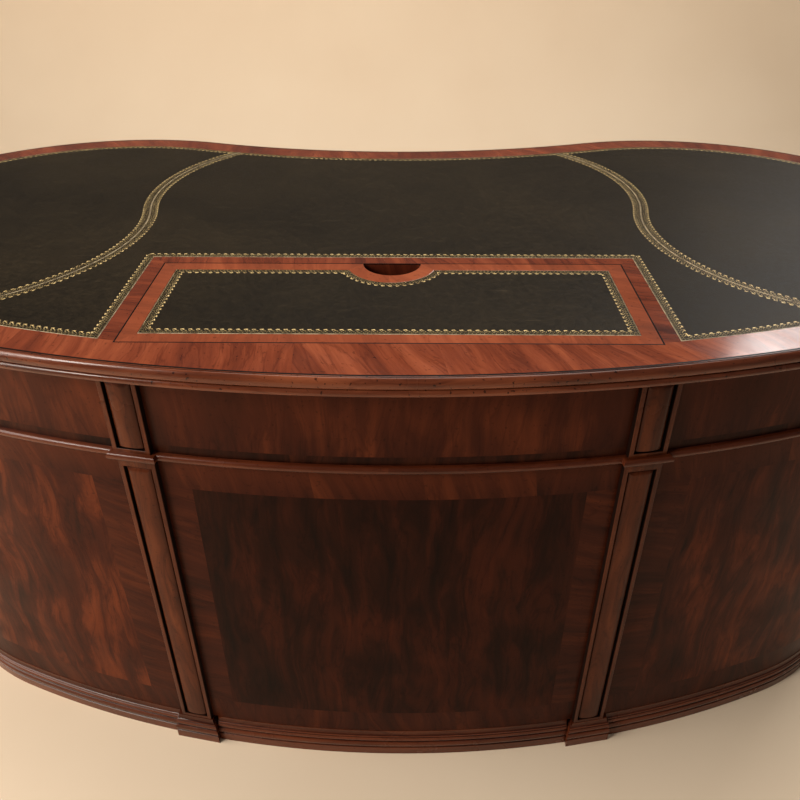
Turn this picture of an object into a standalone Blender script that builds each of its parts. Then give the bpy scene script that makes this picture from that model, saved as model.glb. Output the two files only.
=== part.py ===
"""Kidney-shaped pedestal desk in mahogany.

A leather-lined top with a lift-up flap stands on a frieze of three drawers, which stands on
two pedestals of two drawers each. Every curved piece follows one outline: a long bow on the
visitor's side (-Y), a round lobe at each end, and a hollow on the sitter's side (+Y).
The origin is on the floor under the middle of the top, in metres, with +Z up.
"""
import math
from collections import namedtuple

import bmesh
import bpy
from mathutils import Matrix, Vector

# Driving dimensions
TOP_WIDTH = 1.829
TOP_DEPTH = 0.927
DESK_HEIGHT = 0.737
LOBE_RADIUS_SHARE = 0.4477
HOLLOW_DEPTH = 0.082
KNEEHOLE_WIDTH = 0.580
TOP_THICKNESS = 0.024
FRIEZE_HEIGHT = 0.135
PLINTH_HEIGHT = 0.050

# Fits: what touches, what slides and how far a cutter runs past what it cuts
SEAT = 0.0003
DRAWER_GAP = 0.0015
BOX_SIDE_GAP = 0.002
OVERRUN = 0.020

# Boards and mouldings
PANEL_THICKNESS = 0.018
BOARD_THICKNESS = 0.012
FRIEZE_INSET = 0.040
PEDESTAL_INSET = 0.044
LIPPING_WIDTH = 0.006
STILE_WIDTH = 0.056
PILASTER_WIDTH = 0.050
PILASTER_RISE = 0.008

# The outline: a bow, two lobes and a hollow that meet tangentially
LOBE_RADIUS = TOP_DEPTH * LOBE_RADIUS_SHARE
LOBE_X = TOP_WIDTH / 2 - LOBE_RADIUS
LOBE_Y = TOP_DEPTH / 2 - LOBE_RADIUS
FRONT_Y = -TOP_DEPTH / 2
BACK_Y = TOP_DEPTH / 2 - HOLLOW_DEPTH
lobe_rise = LOBE_Y - FRONT_Y
FRONT_RADIUS = (LOBE_X**2 + lobe_rise**2 - LOBE_RADIUS**2) / (2 * (lobe_rise - LOBE_RADIUS))
FRONT_CENTRE_Y = FRONT_Y + FRONT_RADIUS
hollow_rise = BACK_Y - LOBE_Y
BACK_RADIUS = (LOBE_X**2 + hollow_rise**2 - LOBE_RADIUS**2) / (2 * (LOBE_RADIUS - hollow_rise))
BACK_CENTRE_Y = BACK_Y + BACK_RADIUS
FRONT_TURN = math.atan2(LOBE_X, FRONT_CENTRE_Y - LOBE_Y)
BACK_TURN = math.atan2(LOBE_X, BACK_CENTRE_Y - LOBE_Y)

# Heights of the joints between the top, the frieze and the pedestals
FRIEZE_TOP = DESK_HEIGHT - TOP_THICKNESS
FRIEZE_FOOT = FRIEZE_TOP - FRIEZE_HEIGHT
PANEL_FOOT = PLINTH_HEIGHT + SEAT
PANEL_HEAD = FRIEZE_FOOT - SEAT

# Places across the desk
KNEE_X = KNEEHOLE_WIDTH / 2
STILE_X = KNEE_X + STILE_WIDTH
PILASTER_X = KNEE_X + STILE_WIDTH / 2
FRONT_PILASTER_X = KNEE_X + PILASTER_WIDTH / 2
DRAWER_EDGE_SHARE = 0.488
DRAWER_EDGE_X = LOBE_X + LOBE_RADIUS * DRAWER_EDGE_SHARE


def on_front(angle, inset):
    """A point of the bow, from the angle of its normal and its distance inside the rim."""
    radius = FRONT_RADIUS - inset
    return radius * math.sin(angle), FRONT_CENTRE_Y - radius * math.cos(angle)


def on_lobe(angle, inset):
    radius = LOBE_RADIUS - inset
    return LOBE_X + radius * math.sin(angle), LOBE_Y - radius * math.cos(angle)


def front_at(x, inset):
    """The point of the bow, or of the lobe beyond it, at a distance x from the middle."""
    if x <= (FRONT_RADIUS - inset) * math.sin(FRONT_TURN):
        return x, FRONT_CENTRE_Y - math.sqrt((FRONT_RADIUS - inset) ** 2 - x**2)
    return x, LOBE_Y - math.sqrt((LOBE_RADIUS - inset) ** 2 - (x - LOBE_X) ** 2)


def back_at(x, inset):
    """The point of the hollow, or of the lobe beyond it, at a distance x from the middle."""
    if abs(x) <= (BACK_RADIUS + inset) * math.sin(BACK_TURN):
        return x, BACK_CENTRE_Y - math.sqrt((BACK_RADIUS + inset) ** 2 - x**2)
    return x, LOBE_Y + math.sqrt((LOBE_RADIUS - inset) ** 2 - (abs(x) - LOBE_X) ** 2)


# A place on the outline. rise lifts it off the face, and mitre moves it along as a moulding
# stands out there, by one distance for each radius, so that the corners of a break are mitred.
Place = namedtuple("Place", "rim at rise mitre radius side")


def spot(place, inset, out=0.0):
    """Where a moulding's point lies that stands out from the face at the given inset."""
    x, y = place.rim(place.at + place.mitre * out / place.radius, inset - place.rise - out)
    return place.side * x, y


def along(rim, start, end, steps):
    """Plain places from start to end."""
    return [Place(rim, start + (end - start) * i / steps, 0.0, 0, 1.0, 1) for i in range(steps + 1)]


def break_round(rim, middle, half, radius, way=1):
    """The four mitred corners where a moulding breaks forward round a pilaster."""
    start = middle - way * half
    end = middle + way * half
    corners = [(start, 0.0, -way), (start, PILASTER_RISE, -way), (end, PILASTER_RISE, way), (end, 0.0, way)]
    return [Place(rim, at, rise, mitre, radius, 1) for at, rise, mitre in corners]


def mirrored(places):
    return [place._replace(side=-place.side) for place in reversed(places)]


# The pilasters stand at the same angles on the frieze and on the pedestals, apart from those
# beside the kneehole, which keep their distance from the middle
FRONT_FACE_RADIUS = FRONT_RADIUS - FRIEZE_INSET
LOBE_FACE_RADIUS = LOBE_RADIUS - FRIEZE_INSET
FRONT_PILASTER = math.asin(FRONT_PILASTER_X / FRONT_FACE_RADIUS)
front_half = PILASTER_WIDTH / 2 / FRONT_FACE_RADIUS
lobe_half = PILASTER_WIDTH / 2 / LOBE_FACE_RADIUS
half_pilaster = PILASTER_WIDTH / 2
EDGE_STILE_WIDTH = 0.005
pilaster_edge_x = DRAWER_EDGE_X + EDGE_STILE_WIDTH
LOBE_PILASTER = math.pi - math.asin((pilaster_edge_x - LOBE_X) / LOBE_FACE_RADIUS) - lobe_half
FRAME_END = LOBE_PILASTER - lobe_half

# How finely the arcs are divided
BOW_STEPS = 5
LOBE_STEPS = 16
LOBE_END_STEPS = 8
HOLLOW_STEPS = 4

front_middle = along(on_front, 0.0, FRONT_PILASTER - front_half, BOW_STEPS)[:-1]
front_break = break_round(on_front, FRONT_PILASTER, front_half, FRONT_FACE_RADIUS)
front_side = along(on_front, FRONT_PILASTER + front_half, FRONT_TURN, BOW_STEPS)[1:]
end_round = along(on_lobe, FRONT_TURN, FRAME_END, LOBE_STEPS)[1:-1]
lobe_break = break_round(on_lobe, LOBE_PILASTER, lobe_half, LOBE_FACE_RADIUS)
back_round = along(back_at, DRAWER_EDGE_X, PILASTER_X + half_pilaster, LOBE_END_STEPS)[1:-1]
back_break = break_round(back_at, PILASTER_X, half_pilaster, 1.0, way=-1)
back_middle = along(back_at, PILASTER_X - half_pilaster, 0.0, HOLLOW_STEPS)[1:]

FRAME_RUN = lobe_break + back_round + back_break
RIGHT_RUN = front_middle + front_break + front_side + end_round + FRAME_RUN + back_middle


def level(places):
    """The places on the face itself, without the ones that stand on a pilaster."""
    return [place._replace(mitre=0) for place in places if place.rise == 0.0]


def ring_of(places):
    """A closed run: the right half and its mirror image, which share the two middle points."""
    return places + mirrored(places[1:-1])


def sides(inset):
    """The right half of the outline as two runs of points, the visitor's and the sitter's."""
    points = [spot(place, inset) for place in level(RIGHT_RUN)]
    widest = points.index(max(points))
    return points[: widest + 1], points[widest:]


def meet(run, x):
    """The y at which a line along Y meets a run of points."""
    for (x0, y0), (x1, y1) in zip(run, run[1:]):
        if x0 != x1 and min(x0, x1) <= x <= max(x0, x1):
            return y0 + (y1 - y0) * (x - x0) / (x1 - x0)


def between(run, start_x, end_x):
    """The part of a run of points between two distances from the middle."""
    low, high = sorted((start_x, end_x))
    inner = [point for point in run if low < point[0] < high]
    return [(start_x, meet(run, start_x)), *inner, (end_x, meet(run, end_x))]


def half_outline(inset, start_x=0.0, end_x=0.0):
    """The outline from start_x on the visitor's side round the lobe to end_x on the sitter's."""
    near, far = sides(inset)
    return between(near, start_x, near[-1][0]) + between(far, far[0][0], end_x)[1:]


def whole_outline(inset):
    half = half_outline(inset)
    return half + flipped(half)[1:-1]


def flipped(points):
    return [(-x, y) for x, y in reversed(points)]


# Solids

parts = bpy.data.collections.new("kidney_desk")
cutters = bpy.data.collections.new("kidney_desk_cutters")


def clear_scene():
    for obj in list(bpy.data.objects):
        bpy.data.objects.remove(obj, do_unlink=True)
    for collection in (parts, cutters):
        bpy.context.scene.collection.children.link(collection)


def make_material(name, colour, roughness, metallic=0.0):
    material = bpy.data.materials.new(name)
    material.use_nodes = True
    shader = material.node_tree.nodes["Principled BSDF"]
    shader.inputs["Base Color"].default_value = (*colour, 1.0)
    shader.inputs["Roughness"].default_value = roughness
    shader.inputs["Metallic"].default_value = metallic
    return material


CROSSBAND = make_material("crossbanded_mahogany", (0.34, 0.10, 0.05), 0.30)
FLAME = make_material("flame_mahogany", (0.10, 0.028, 0.014), 0.28)
SOLID = make_material("solid_mahogany", (0.15, 0.055, 0.028), 0.32)
LINING = make_material("drawer_lining_oak", (0.42, 0.27, 0.14), 0.55)
LEATHER = make_material("black_leather", (0.022, 0.018, 0.012), 0.42)
BRASS = make_material("aged_brass", (0.62, 0.42, 0.16), 0.30, 1.0)


def finish(bm, name, material, collection=parts):
    """Turns a bmesh into a named object with its faces pointing out."""
    bmesh.ops.recalc_face_normals(bm, faces=bm.faces)
    mesh = bpy.data.meshes.new(name)
    bm.to_mesh(mesh)
    bm.free()
    obj = bpy.data.objects.new(name, mesh)
    collection.objects.link(obj)
    if material:
        mesh.materials.append(material)
    return obj


def carry(name, location, pieces):
    """An empty on the axis of a joint, with the pieces that move with it."""
    empty = bpy.data.objects.new(name, None)
    empty.location = location
    parts.objects.link(empty)
    for piece in pieces:
        piece.parent = empty
        piece.matrix_parent_inverse = Matrix.Translation(-Vector(location))


def raised(bm, face, height):
    """Extrudes a face straight along an axis and gives the face at the far end."""
    grown = bmesh.ops.extrude_face_region(bm, geom=[face, *face.edges])["geom"]
    bmesh.ops.translate(bm, vec=height, verts=[v for v in grown if isinstance(v, bmesh.types.BMVert)])
    return next(f for f in grown if isinstance(f, bmesh.types.BMFace))


def prism(outline, low, high):
    """A level outline, raised from one height to another, and its upper face."""
    bm = bmesh.new()
    base = bm.faces.new([bm.verts.new((x, y, low)) for x, y in outline])
    return bm, raised(bm, base, Vector((0, 0, high - low)))


def slab(name, outline, low, high, material):
    return finish(prism(outline, low, high)[0], name, material)


def rail_along_y(name, section, near, far, material):
    """A straight piece whose section, points of (x, z), is carried along Y."""
    bm = bmesh.new()
    base = bm.faces.new([bm.verts.new((x, near, z)) for x, z in section])
    raised(bm, base, Vector((0, far - near, 0)))
    return finish(bm, name, material)


def curved_board(name, places, inset, low, high, material, thickness=PANEL_THICKNESS):
    """An upright board bent along the outline, its pilasters standing off its face."""
    outer = [spot(place, inset) for place in places]
    inner = [spot(place, inset + thickness) for place in level(places)]
    return slab(name, outer + inner[::-1], low, high, material)


def moulding(name, places, inset, section, material, closed=False):
    """A section of (stand-out, height) points, carried round mitred corners."""
    bm = bmesh.new()
    rings = [[bm.verts.new((*spot(place, inset, out), z)) for out, z in section] for place in places]
    following = rings[1:] + rings[:1] if closed else rings[1:]
    for ring, after in zip(rings, following):
        for i, vert in enumerate(ring):
            bm.faces.new((ring[i - 1], vert, after[i], after[i - 1]))
    if not closed:
        bm.faces.new(rings[0])
        bm.faces.new(rings[-1])
    return finish(bm, name, material)


def box_cutter(name, low, high):
    bm = bmesh.new()
    bmesh.ops.create_cube(bm, size=1.0)
    size = [b - a for a, b in zip(low, high)]
    middle = [(a + b) / 2 for a, b in zip(low, high)]
    bmesh.ops.scale(bm, vec=size, verts=bm.verts)
    bmesh.ops.translate(bm, vec=middle, verts=bm.verts)
    return as_cutter(finish(bm, name, None, cutters))


def outline_cutter(name, outline, low, high):
    return as_cutter(finish(prism(outline, low, high)[0], name, None, cutters))


def as_cutter(obj):
    obj.hide_render = True
    obj.display_type = "WIRE"
    return obj


def cut(obj, *tools):
    for tool in tools:
        modifier = obj.modifiers.new(tool.name, "BOOLEAN")
        modifier.operation = "DIFFERENCE"
        modifier.solver = "EXACT"
        modifier.object = tool


def arc_points(centre, radius, start, end, steps):
    """Points of an arc, its angles counted from +X."""
    turns = [start + (end - start) * i / steps for i in range(steps + 1)]
    return [(centre[0] + radius * math.cos(a), centre[1] + radius * math.sin(a)) for a in turns]


def rectangle(half_width, near, far):
    return [(-half_width, near), (half_width, near), (half_width, far), (-half_width, far)]


# The flap and the leather field it is let into

LEATHER_THICKNESS = 0.0015
LEATHER_INSET = 0.052
FLAP_WIDTH = 0.630
FLAP_DEPTH = 0.2247
FLAP_GAP = 0.0012
FLAP_THICKNESS = 0.014
FLAP_BAND_WIDTH = 0.0205
FLAP_FRAME_WIDTH = 0.020
FLAP_NEAR_STEP = 0.0085
FLAP_LEDGE = 0.010
FLAP_NEAR_LEDGE = 0.020
NOTCH_RADIUS = 0.039
NOTCH_BAND_WIDTH = 0.0225
NOTCH_STEPS = 12

FRAME_X = FLAP_WIDTH / 2 + FLAP_FRAME_WIDTH
FLAP_NEAR_Y = front_at(FRAME_X, LEATHER_INSET)[1] - FLAP_NEAR_STEP
FLAP_FAR_Y = FLAP_NEAR_Y + FLAP_DEPTH
FRAME_FAR_Y = FLAP_FAR_Y + FLAP_FRAME_WIDTH
POCKET_FLOOR = DESK_HEIGHT - LEATHER_THICKNESS - SEAT

# The two bands that part the leather: one arc from the back edge, then one that turns the
# other way and ends on the front edge
BAND_BACK_X_SHARE = 0.1676
BAND_BULGE_SHARES = (0.2203, 0.1402)
BAND_FRONT_X_SHARE = 0.3117
BAND_TURN = math.radians(14.3)
BAND_STEPS = 8


def band_points():
    """The right band from the back edge of the leather to its front edge."""
    back_end = Vector(back_at(TOP_WIDTH * BAND_BACK_X_SHARE, LEATHER_INSET))
    front_end = Vector(front_at(TOP_WIDTH * BAND_FRONT_X_SHARE, LEATHER_INSET))
    bulge = Vector((TOP_WIDTH * BAND_BULGE_SHARES[0], TOP_DEPTH * BAND_BULGE_SHARES[1]))
    reach = bulge - back_end
    back_radius = reach.length_squared / (2 * reach.x)
    back_centre = bulge - Vector((back_radius, 0))
    normal = Vector((math.cos(BAND_TURN), -math.sin(BAND_TURN)))
    turn_point = back_centre + normal * back_radius
    chord = front_end - turn_point
    front_radius = chord.length_squared / (2 * chord.dot(normal))
    front_centre = turn_point + normal * front_radius
    start = math.atan2(back_end.y - back_centre.y, back_end.x - back_centre.x)
    end = math.atan2(front_end.y - front_centre.y, front_end.x - front_centre.x)
    upper = arc_points(back_centre, back_radius, start, -BAND_TURN, BAND_STEPS)
    lower = arc_points(front_centre, front_radius, math.pi - BAND_TURN, end % (2 * math.pi), BAND_STEPS)
    return upper + lower[1:]


def make_leathers():
    """Three skins that meet under the gold bands, a hair's breadth inside their pocket."""
    inset = LEATHER_INSET + SEAT
    near, far = sides(inset)
    low = POCKET_FLOOR + SEAT
    high = low + LEATHER_THICKNESS
    band = band_points()
    seam = SEAT / 2
    outer_band = [(x + seam, y) for x, y in band]
    inner_band = [(x - seam, y) for x, y in band]
    right = half_outline(inset, outer_band[-1][0], outer_band[0][0]) + outer_band[1:-1]
    slab("leather_right", right, low, high, LEATHER)
    slab("leather_left", flipped(right), low, high, LEATHER)
    frame_x = FRAME_X + SEAT
    frame_y = FRAME_FAR_Y + SEAT
    front = between(near, frame_x, inner_band[-1][0])
    back = between(far, inner_band[0][0], 0.0)
    half = front + inner_band[-2:0:-1] + back
    centre = half + flipped(half)[1:] + [(-frame_x, frame_y), (frame_x, frame_y)]
    slab("leather_centre", centre, low, high, LEATHER)


def spaced(start, end, steps):
    return [start + (end - start) * i / steps for i in range(steps + 1)]


def notched(half_width, near, far, radius):
    """A rectangle whose far edge has the round finger notch in it, centred on the gap."""
    dip = math.asin((FLAP_FAR_Y - far) / radius)
    arc = arc_points((0.0, FLAP_FAR_Y), radius, -dip, dip - math.pi, NOTCH_STEPS)
    return [(-half_width, near), (half_width, near), (half_width, far)] + arc + [(-half_width, far)]


def make_top():
    """The veneered board, stepped for the flap and sunk for the leather."""
    board = slab("top_board", whole_outline(LIPPING_WIDTH + SEAT), FRIEZE_TOP, DESK_HEIGHT, CROSSBAND)
    half = half_outline(LEATHER_INSET, FRAME_X)
    field = half + flipped(half)[1:] + [(-FRAME_X, FRAME_FAR_Y), (FRAME_X, FRAME_FAR_Y)]
    pocket = outline_cutter("leather_pocket_cut", field, POCKET_FLOOR, DESK_HEIGHT + OVERRUN)
    flap_floor = DESK_HEIGHT - FLAP_THICKNESS - SEAT
    bed = rectangle(FLAP_WIDTH / 2, FLAP_NEAR_Y, FLAP_FAR_Y)
    opening = outline_cutter("flap_opening_cut", bed, flap_floor, DESK_HEIGHT + OVERRUN)
    near = FLAP_NEAR_Y + FLAP_NEAR_LEDGE
    far = FLAP_FAR_Y - FLAP_LEDGE
    mouth = rectangle(FLAP_WIDTH / 2 - FLAP_LEDGE, near, far)
    through = outline_cutter("compartment_cut", mouth, FRIEZE_TOP - OVERRUN, DESK_HEIGHT)
    finger = box_cutter(
        "finger_room_cut",
        (-NOTCH_RADIUS, far - OVERRUN, FRIEZE_TOP - OVERRUN),
        (NOTCH_RADIUS, FLAP_FAR_Y, DESK_HEIGHT),
    )
    cut(board, pocket, opening, through, finger, *hinge_bores("board"))
    section = [(-LIPPING_WIDTH, DESK_HEIGHT), (-LIPPING_WIDTH, FRIEZE_TOP)]
    section += [(-d * LIPPING_WIDTH, FRIEZE_TOP + h * TOP_THICKNESS) for d, h in LIPPING_SHARES]
    moulding("top_edge_moulding", ring_of(level(RIGHT_RUN)), 0.0, section, SOLID, closed=True)


# The edge moulding in section: a bead, a groove and a rounded member above it, as shares of
# its width, inwards, and of its thickness, upwards
LIPPING_SHARES = (
    (0.40, 0.0),
    (0.10, 0.06),
    (0.05, 0.20),
    (0.15, 0.32),
    (0.55, 0.37),
    (0.12, 0.42),
    (0.0, 0.52),
    (0.0, 0.78),
    (0.12, 0.92),
    (0.55, 1.0),
)

# Concealed barrel hinges: a brass barrel in the board's edge faces one in the flap's
HINGE_RADIUS = 0.005
HINGE_LENGTH = 0.013
HINGE_SPREAD_SHARE = 0.38
HINGE_SIDES = 16
HINGE_Z = DESK_HEIGHT - FLAP_THICKNESS / 2
SIDE_NAMES = {"left": -1, "right": 1}


def barrel(radius, length, x, near):
    """A cylinder along Y with its near end at the given place."""
    bm = bmesh.new()
    bmesh.ops.create_cone(
        bm, cap_ends=True, segments=HINGE_SIDES, radius1=radius, radius2=radius, depth=length
    )
    bmesh.ops.rotate(bm, matrix=Matrix.Rotation(math.pi / 2, 3, "X"), verts=bm.verts)
    bmesh.ops.translate(bm, vec=(x, near + length / 2, HINGE_Z), verts=bm.verts)
    return bm


def hinge_bores(owner):
    """Cutters for the blind holes that the barrels sit in."""
    depth = HINGE_LENGTH + SEAT
    near = {"board": FLAP_NEAR_Y - depth, "flap": FLAP_NEAR_Y + FLAP_GAP - OVERRUN}[owner]
    length = {"board": depth + FLAP_GAP / 2, "flap": OVERRUN + depth}[owner]
    tools = []
    for side_name, side in SIDE_NAMES.items():
        x = side * FLAP_WIDTH * HINGE_SPREAD_SHARE
        bm = barrel(HINGE_RADIUS + SEAT, length, x, near)
        tools.append(as_cutter(finish(bm, f"{owner}_hinge_bore_{side_name}_cut", None, cutters)))
    return tools


def make_barrels(kind, near):
    """The two barrels of one kind, fixed or moving."""
    barrels = []
    for side_name, side in SIDE_NAMES.items():
        bm = barrel(HINGE_RADIUS, HINGE_LENGTH, side * FLAP_WIDTH * HINGE_SPREAD_SHARE, near)
        barrels.append(finish(bm, f"flap_hinge_{side_name}_{kind}", BRASS))
    return barrels


def make_flap():
    """The crossbanded lid with its leather and barrels, on an axis along its near edge."""
    half = FLAP_WIDTH / 2 - FLAP_GAP
    near = FLAP_NEAR_Y + FLAP_GAP
    far = FLAP_FAR_Y - FLAP_GAP
    outline = notched(half, near, far, NOTCH_RADIUS)
    panel = slab("flap_panel", outline, DESK_HEIGHT - FLAP_THICKNESS, DESK_HEIGHT, CROSSBAND)
    half -= FLAP_BAND_WIDTH
    near += FLAP_BAND_WIDTH
    far -= FLAP_BAND_WIDTH
    sweep = NOTCH_RADIUS + NOTCH_BAND_WIDTH
    field = notched(half, near, far, sweep)
    pocket = outline_cutter("flap_pocket_cut", field, POCKET_FLOOR, DESK_HEIGHT + OVERRUN)
    cut(panel, pocket, *hinge_bores("flap"))
    skin = notched(half - SEAT, near + SEAT, far - SEAT, sweep + SEAT)
    low = POCKET_FLOOR + SEAT
    leather = slab("flap_leather", skin, low, low + LEATHER_THICKNESS, LEATHER)
    make_barrels("fixed", FLAP_NEAR_Y - HINGE_LENGTH)
    moving = make_barrels("moving", FLAP_NEAR_Y + FLAP_GAP)
    carry("flap", (0.0, FLAP_NEAR_Y + FLAP_GAP / 2, DESK_HEIGHT), [panel, leather, *moving])


WELL_DEPTH = 0.095
WELL_WALL = 0.008


def tray(name, outline, low, high, wall, floor, material):
    """An open box: an outline raised to its rim, then hollowed from the top."""
    bm, top = prism(outline, low, high)
    bmesh.ops.inset_region(bm, faces=[top], thickness=wall, use_even_offset=True)
    raised(bm, top, Vector((0, 0, low + floor - high)))
    return finish(bm, name, material)


def make_well():
    high = FRIEZE_TOP - SEAT
    near = FLAP_NEAR_Y + FLAP_NEAR_LEDGE - WELL_WALL
    far = FLAP_FAR_Y - FLAP_LEDGE + WELL_WALL
    outline = rectangle(FLAP_WIDTH / 2 - FLAP_LEDGE + WELL_WALL, near, far)
    tray("compartment_well", outline, high - WELL_DEPTH, high, WELL_WALL, WELL_WALL, SOLID)


# The frieze

FRIEZE_RAIL_LOW = 0.024
FRIEZE_RAIL_HIGH = 0.013
FRIEZE_OPENING = (FRIEZE_FOOT + FRIEZE_RAIL_LOW, FRIEZE_TOP - FRIEZE_RAIL_HIGH)
DUST_BOARD_TOP = FRIEZE_OPENING[0] + DRAWER_GAP - SEAT
BEAD_HEIGHT = 0.011
BEAD_OUT = 0.007
BEAD_LIFT = 0.001
BEAD_FLAT_SHARE = 0.35
BEAD_STEPS = 6
DIVIDER_THICKNESS = 0.018
DIVIDER_LENGTH = 0.380
CENTRE_EDGE_X = KNEE_X


def panel_run():
    """The bow and lobe between the front pilaster's middle and the sitter's frame."""
    middle = front_break[0]._replace(at=FRONT_PILASTER + SEAT / 2 / FRONT_FACE_RADIUS)
    end = lobe_break[0]._replace(at=FRAME_END - SEAT / LOBE_FACE_RADIUS)
    return level([middle, front_break[-1], *front_side, *end_round, end])


def front_run():
    middle = front_break[0]._replace(at=FRONT_PILASTER - SEAT / 2 / FRONT_FACE_RADIUS)
    half = level([*front_middle, front_break[0], middle])
    return mirrored(half)[:-1] + half


def make_frieze():
    low = FRIEZE_FOOT
    high = FRIEZE_TOP - SEAT
    curved_board("frieze_front", front_run(), FRIEZE_INSET, low, high, FLAME)
    curved_board("frieze_end_right", panel_run(), FRIEZE_INSET, low, high, FLAME)
    curved_board("frieze_end_left", mirrored(panel_run()), FRIEZE_INSET, low, high, FLAME)

    whole_frame = FRAME_RUN + back_middle + mirrored(FRAME_RUN + back_middle[:-1])
    frame = curved_board("frieze_face_frame", whole_frame, FRIEZE_INSET, low, high, SOLID)
    openings = {
        "left": (-DRAWER_EDGE_X, -STILE_X),
        "centre": (-CENTRE_EDGE_X, CENTRE_EDGE_X),
        "right": (STILE_X, DRAWER_EDGE_X),
    }
    for name, span in openings.items():
        cut(frame, frame_cutter(f"frieze_{name}", span, FRIEZE_OPENING))

    inner = FRIEZE_INSET + PANEL_THICKNESS + SEAT
    floor = DUST_BOARD_TOP - BOARD_THICKNESS
    slab("frieze_dust_board", whole_outline(inner), floor, DUST_BOARD_TOP, LINING)
    foot = DUST_BOARD_TOP + SEAT
    left = PILASTER_X - DIVIDER_THICKNESS / 2
    right = PILASTER_X + DIVIDER_THICKNESS / 2
    far = meet(sides(inner)[1], left)
    section = [(left, foot), (right, foot), (right, high), (left, high)]
    for side_name, side in SIDE_NAMES.items():
        name = f"frieze_divider_{side_name}"
        rail_along_y(name, scaled(section, side), far - DIVIDER_LENGTH, far, LINING)
    make_bead()


def frame_cutter(name, span, opening):
    """A box along Y that opens a face frame for one drawer."""
    far = LOBE_Y + LOBE_RADIUS + OVERRUN
    near = back_at(DRAWER_EDGE_X, PEDESTAL_INSET + PANEL_THICKNESS)[1] - OVERRUN
    return box_cutter(f"{name}_opening_cut", (span[0], near, opening[0]), (span[1], far, opening[1]))


def make_bead():
    """The half-round bead along the foot of the frieze, which breaks round every pilaster."""
    middle = FRIEZE_FOOT + BEAD_LIFT + BEAD_HEIGHT / 2
    section = [(SEAT, middle + BEAD_HEIGHT / 2), (SEAT, middle - BEAD_HEIGHT / 2)]
    for i in range(BEAD_STEPS + 1):
        turn = math.pi * (i / BEAD_STEPS - 1 / 2)
        out = SEAT + BEAD_OUT * (BEAD_FLAT_SHARE + (1 - BEAD_FLAT_SHARE) * math.cos(turn))
        section.append((out, middle + BEAD_HEIGHT / 2 * math.sin(turn)))
    moulding("frieze_bead", ring_of(RIGHT_RUN), FRIEZE_INSET, section, SOLID, closed=True)


# Front pilasters: a raised frame round a sunk floor, from which a soft pillow rises
PILASTER_FRAME = 0.008
PILASTER_SINK = 0.004
PILLOW_GAP = 0.003
PILLOW_SLOPE = 0.007
PILLOW_RISE = 0.0035


def make_pilaster(name, side, inset, low, high):
    bm = bmesh.new()
    bmesh.ops.create_cube(bm, size=1.0)
    depth = PILASTER_RISE - SEAT
    bmesh.ops.scale(bm, vec=(PILASTER_WIDTH, depth, high - low), verts=bm.verts)
    bmesh.ops.translate(bm, vec=(0, -SEAT - depth / 2, (low + high) / 2), verts=bm.verts)
    front = min(bm.faces, key=lambda face: face.calc_center_median().y)
    bmesh.ops.inset_region(bm, faces=[front], thickness=PILASTER_FRAME, use_even_offset=True)
    front = raised(bm, front, Vector((0, PILASTER_SINK, 0)))
    bmesh.ops.inset_region(bm, faces=[front], thickness=PILLOW_GAP, use_even_offset=True)
    bmesh.ops.inset_region(
        bm, faces=[front], thickness=PILLOW_SLOPE, depth=PILLOW_RISE, use_even_offset=True
    )
    pilaster = finish(bm, name, SOLID)
    x, y = on_front(FRONT_PILASTER, inset)
    pilaster.location = (side * x, y, 0)
    pilaster.rotation_euler = (0, 0, side * FRONT_PILASTER)


def make_pilasters():
    top = FRIEZE_TOP - SEAT
    for side_name, side in SIDE_NAMES.items():
        make_pilaster(f"frieze_pilaster_{side_name}", side, FRIEZE_INSET, FRIEZE_FOOT, top)
        make_pilaster(f"pedestal_pilaster_{side_name}", side, PEDESTAL_INSET, PANEL_FOOT, PANEL_HEAD)


# The pedestals

DRAWER_RAIL = 0.015
HEAD_RAIL = 0.0187
FOOT_RAIL = 0.026
FILE_HEIGHT_SHARE = 0.584
FILE_HEIGHT = (PANEL_HEAD - PANEL_FOOT) * FILE_HEIGHT_SHARE
FILE_OPENING = (PANEL_FOOT + FOOT_RAIL, PANEL_FOOT + FOOT_RAIL + FILE_HEIGHT)
UPPER_OPENING = (FILE_OPENING[1] + DRAWER_RAIL, PANEL_HEAD - HEAD_RAIL)
OPENINGS = {"upper": UPPER_OPENING, "file": FILE_OPENING}
RUNNER_HEIGHT = 0.014
RUNNER_REACH = 0.018
RUNNER_WALL_GAP = 0.008
RUNNER_WALL_MARGIN = 0.040
PLINTH_INNER = 0.024
PLINTH_OUT = 0.008

# The base moulding in section, from its foot up, as shares of its greatest stand-out and of
# its height: a flat foot, two reeds with a groove between them, and a hollow above
PLINTH_SHARES = (
    (0.90, 0.0),
    (0.90, 0.30),
    (0.75, 0.34),
    (0.95, 0.40),
    (1.0, 0.48),
    (0.90, 0.56),
    (0.55, 0.60),
    (0.75, 0.66),
    (0.78, 0.72),
    (0.60, 0.78),
    (0.30, 0.90),
    (0.10, 1.0),
)


def plinth_section():
    outer = [(out * PLINTH_OUT, z * PLINTH_HEIGHT) for out, z in PLINTH_SHARES]
    return [(-PLINTH_INNER, PLINTH_HEIGHT), (-PLINTH_INNER, 0.0)] + outer


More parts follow.
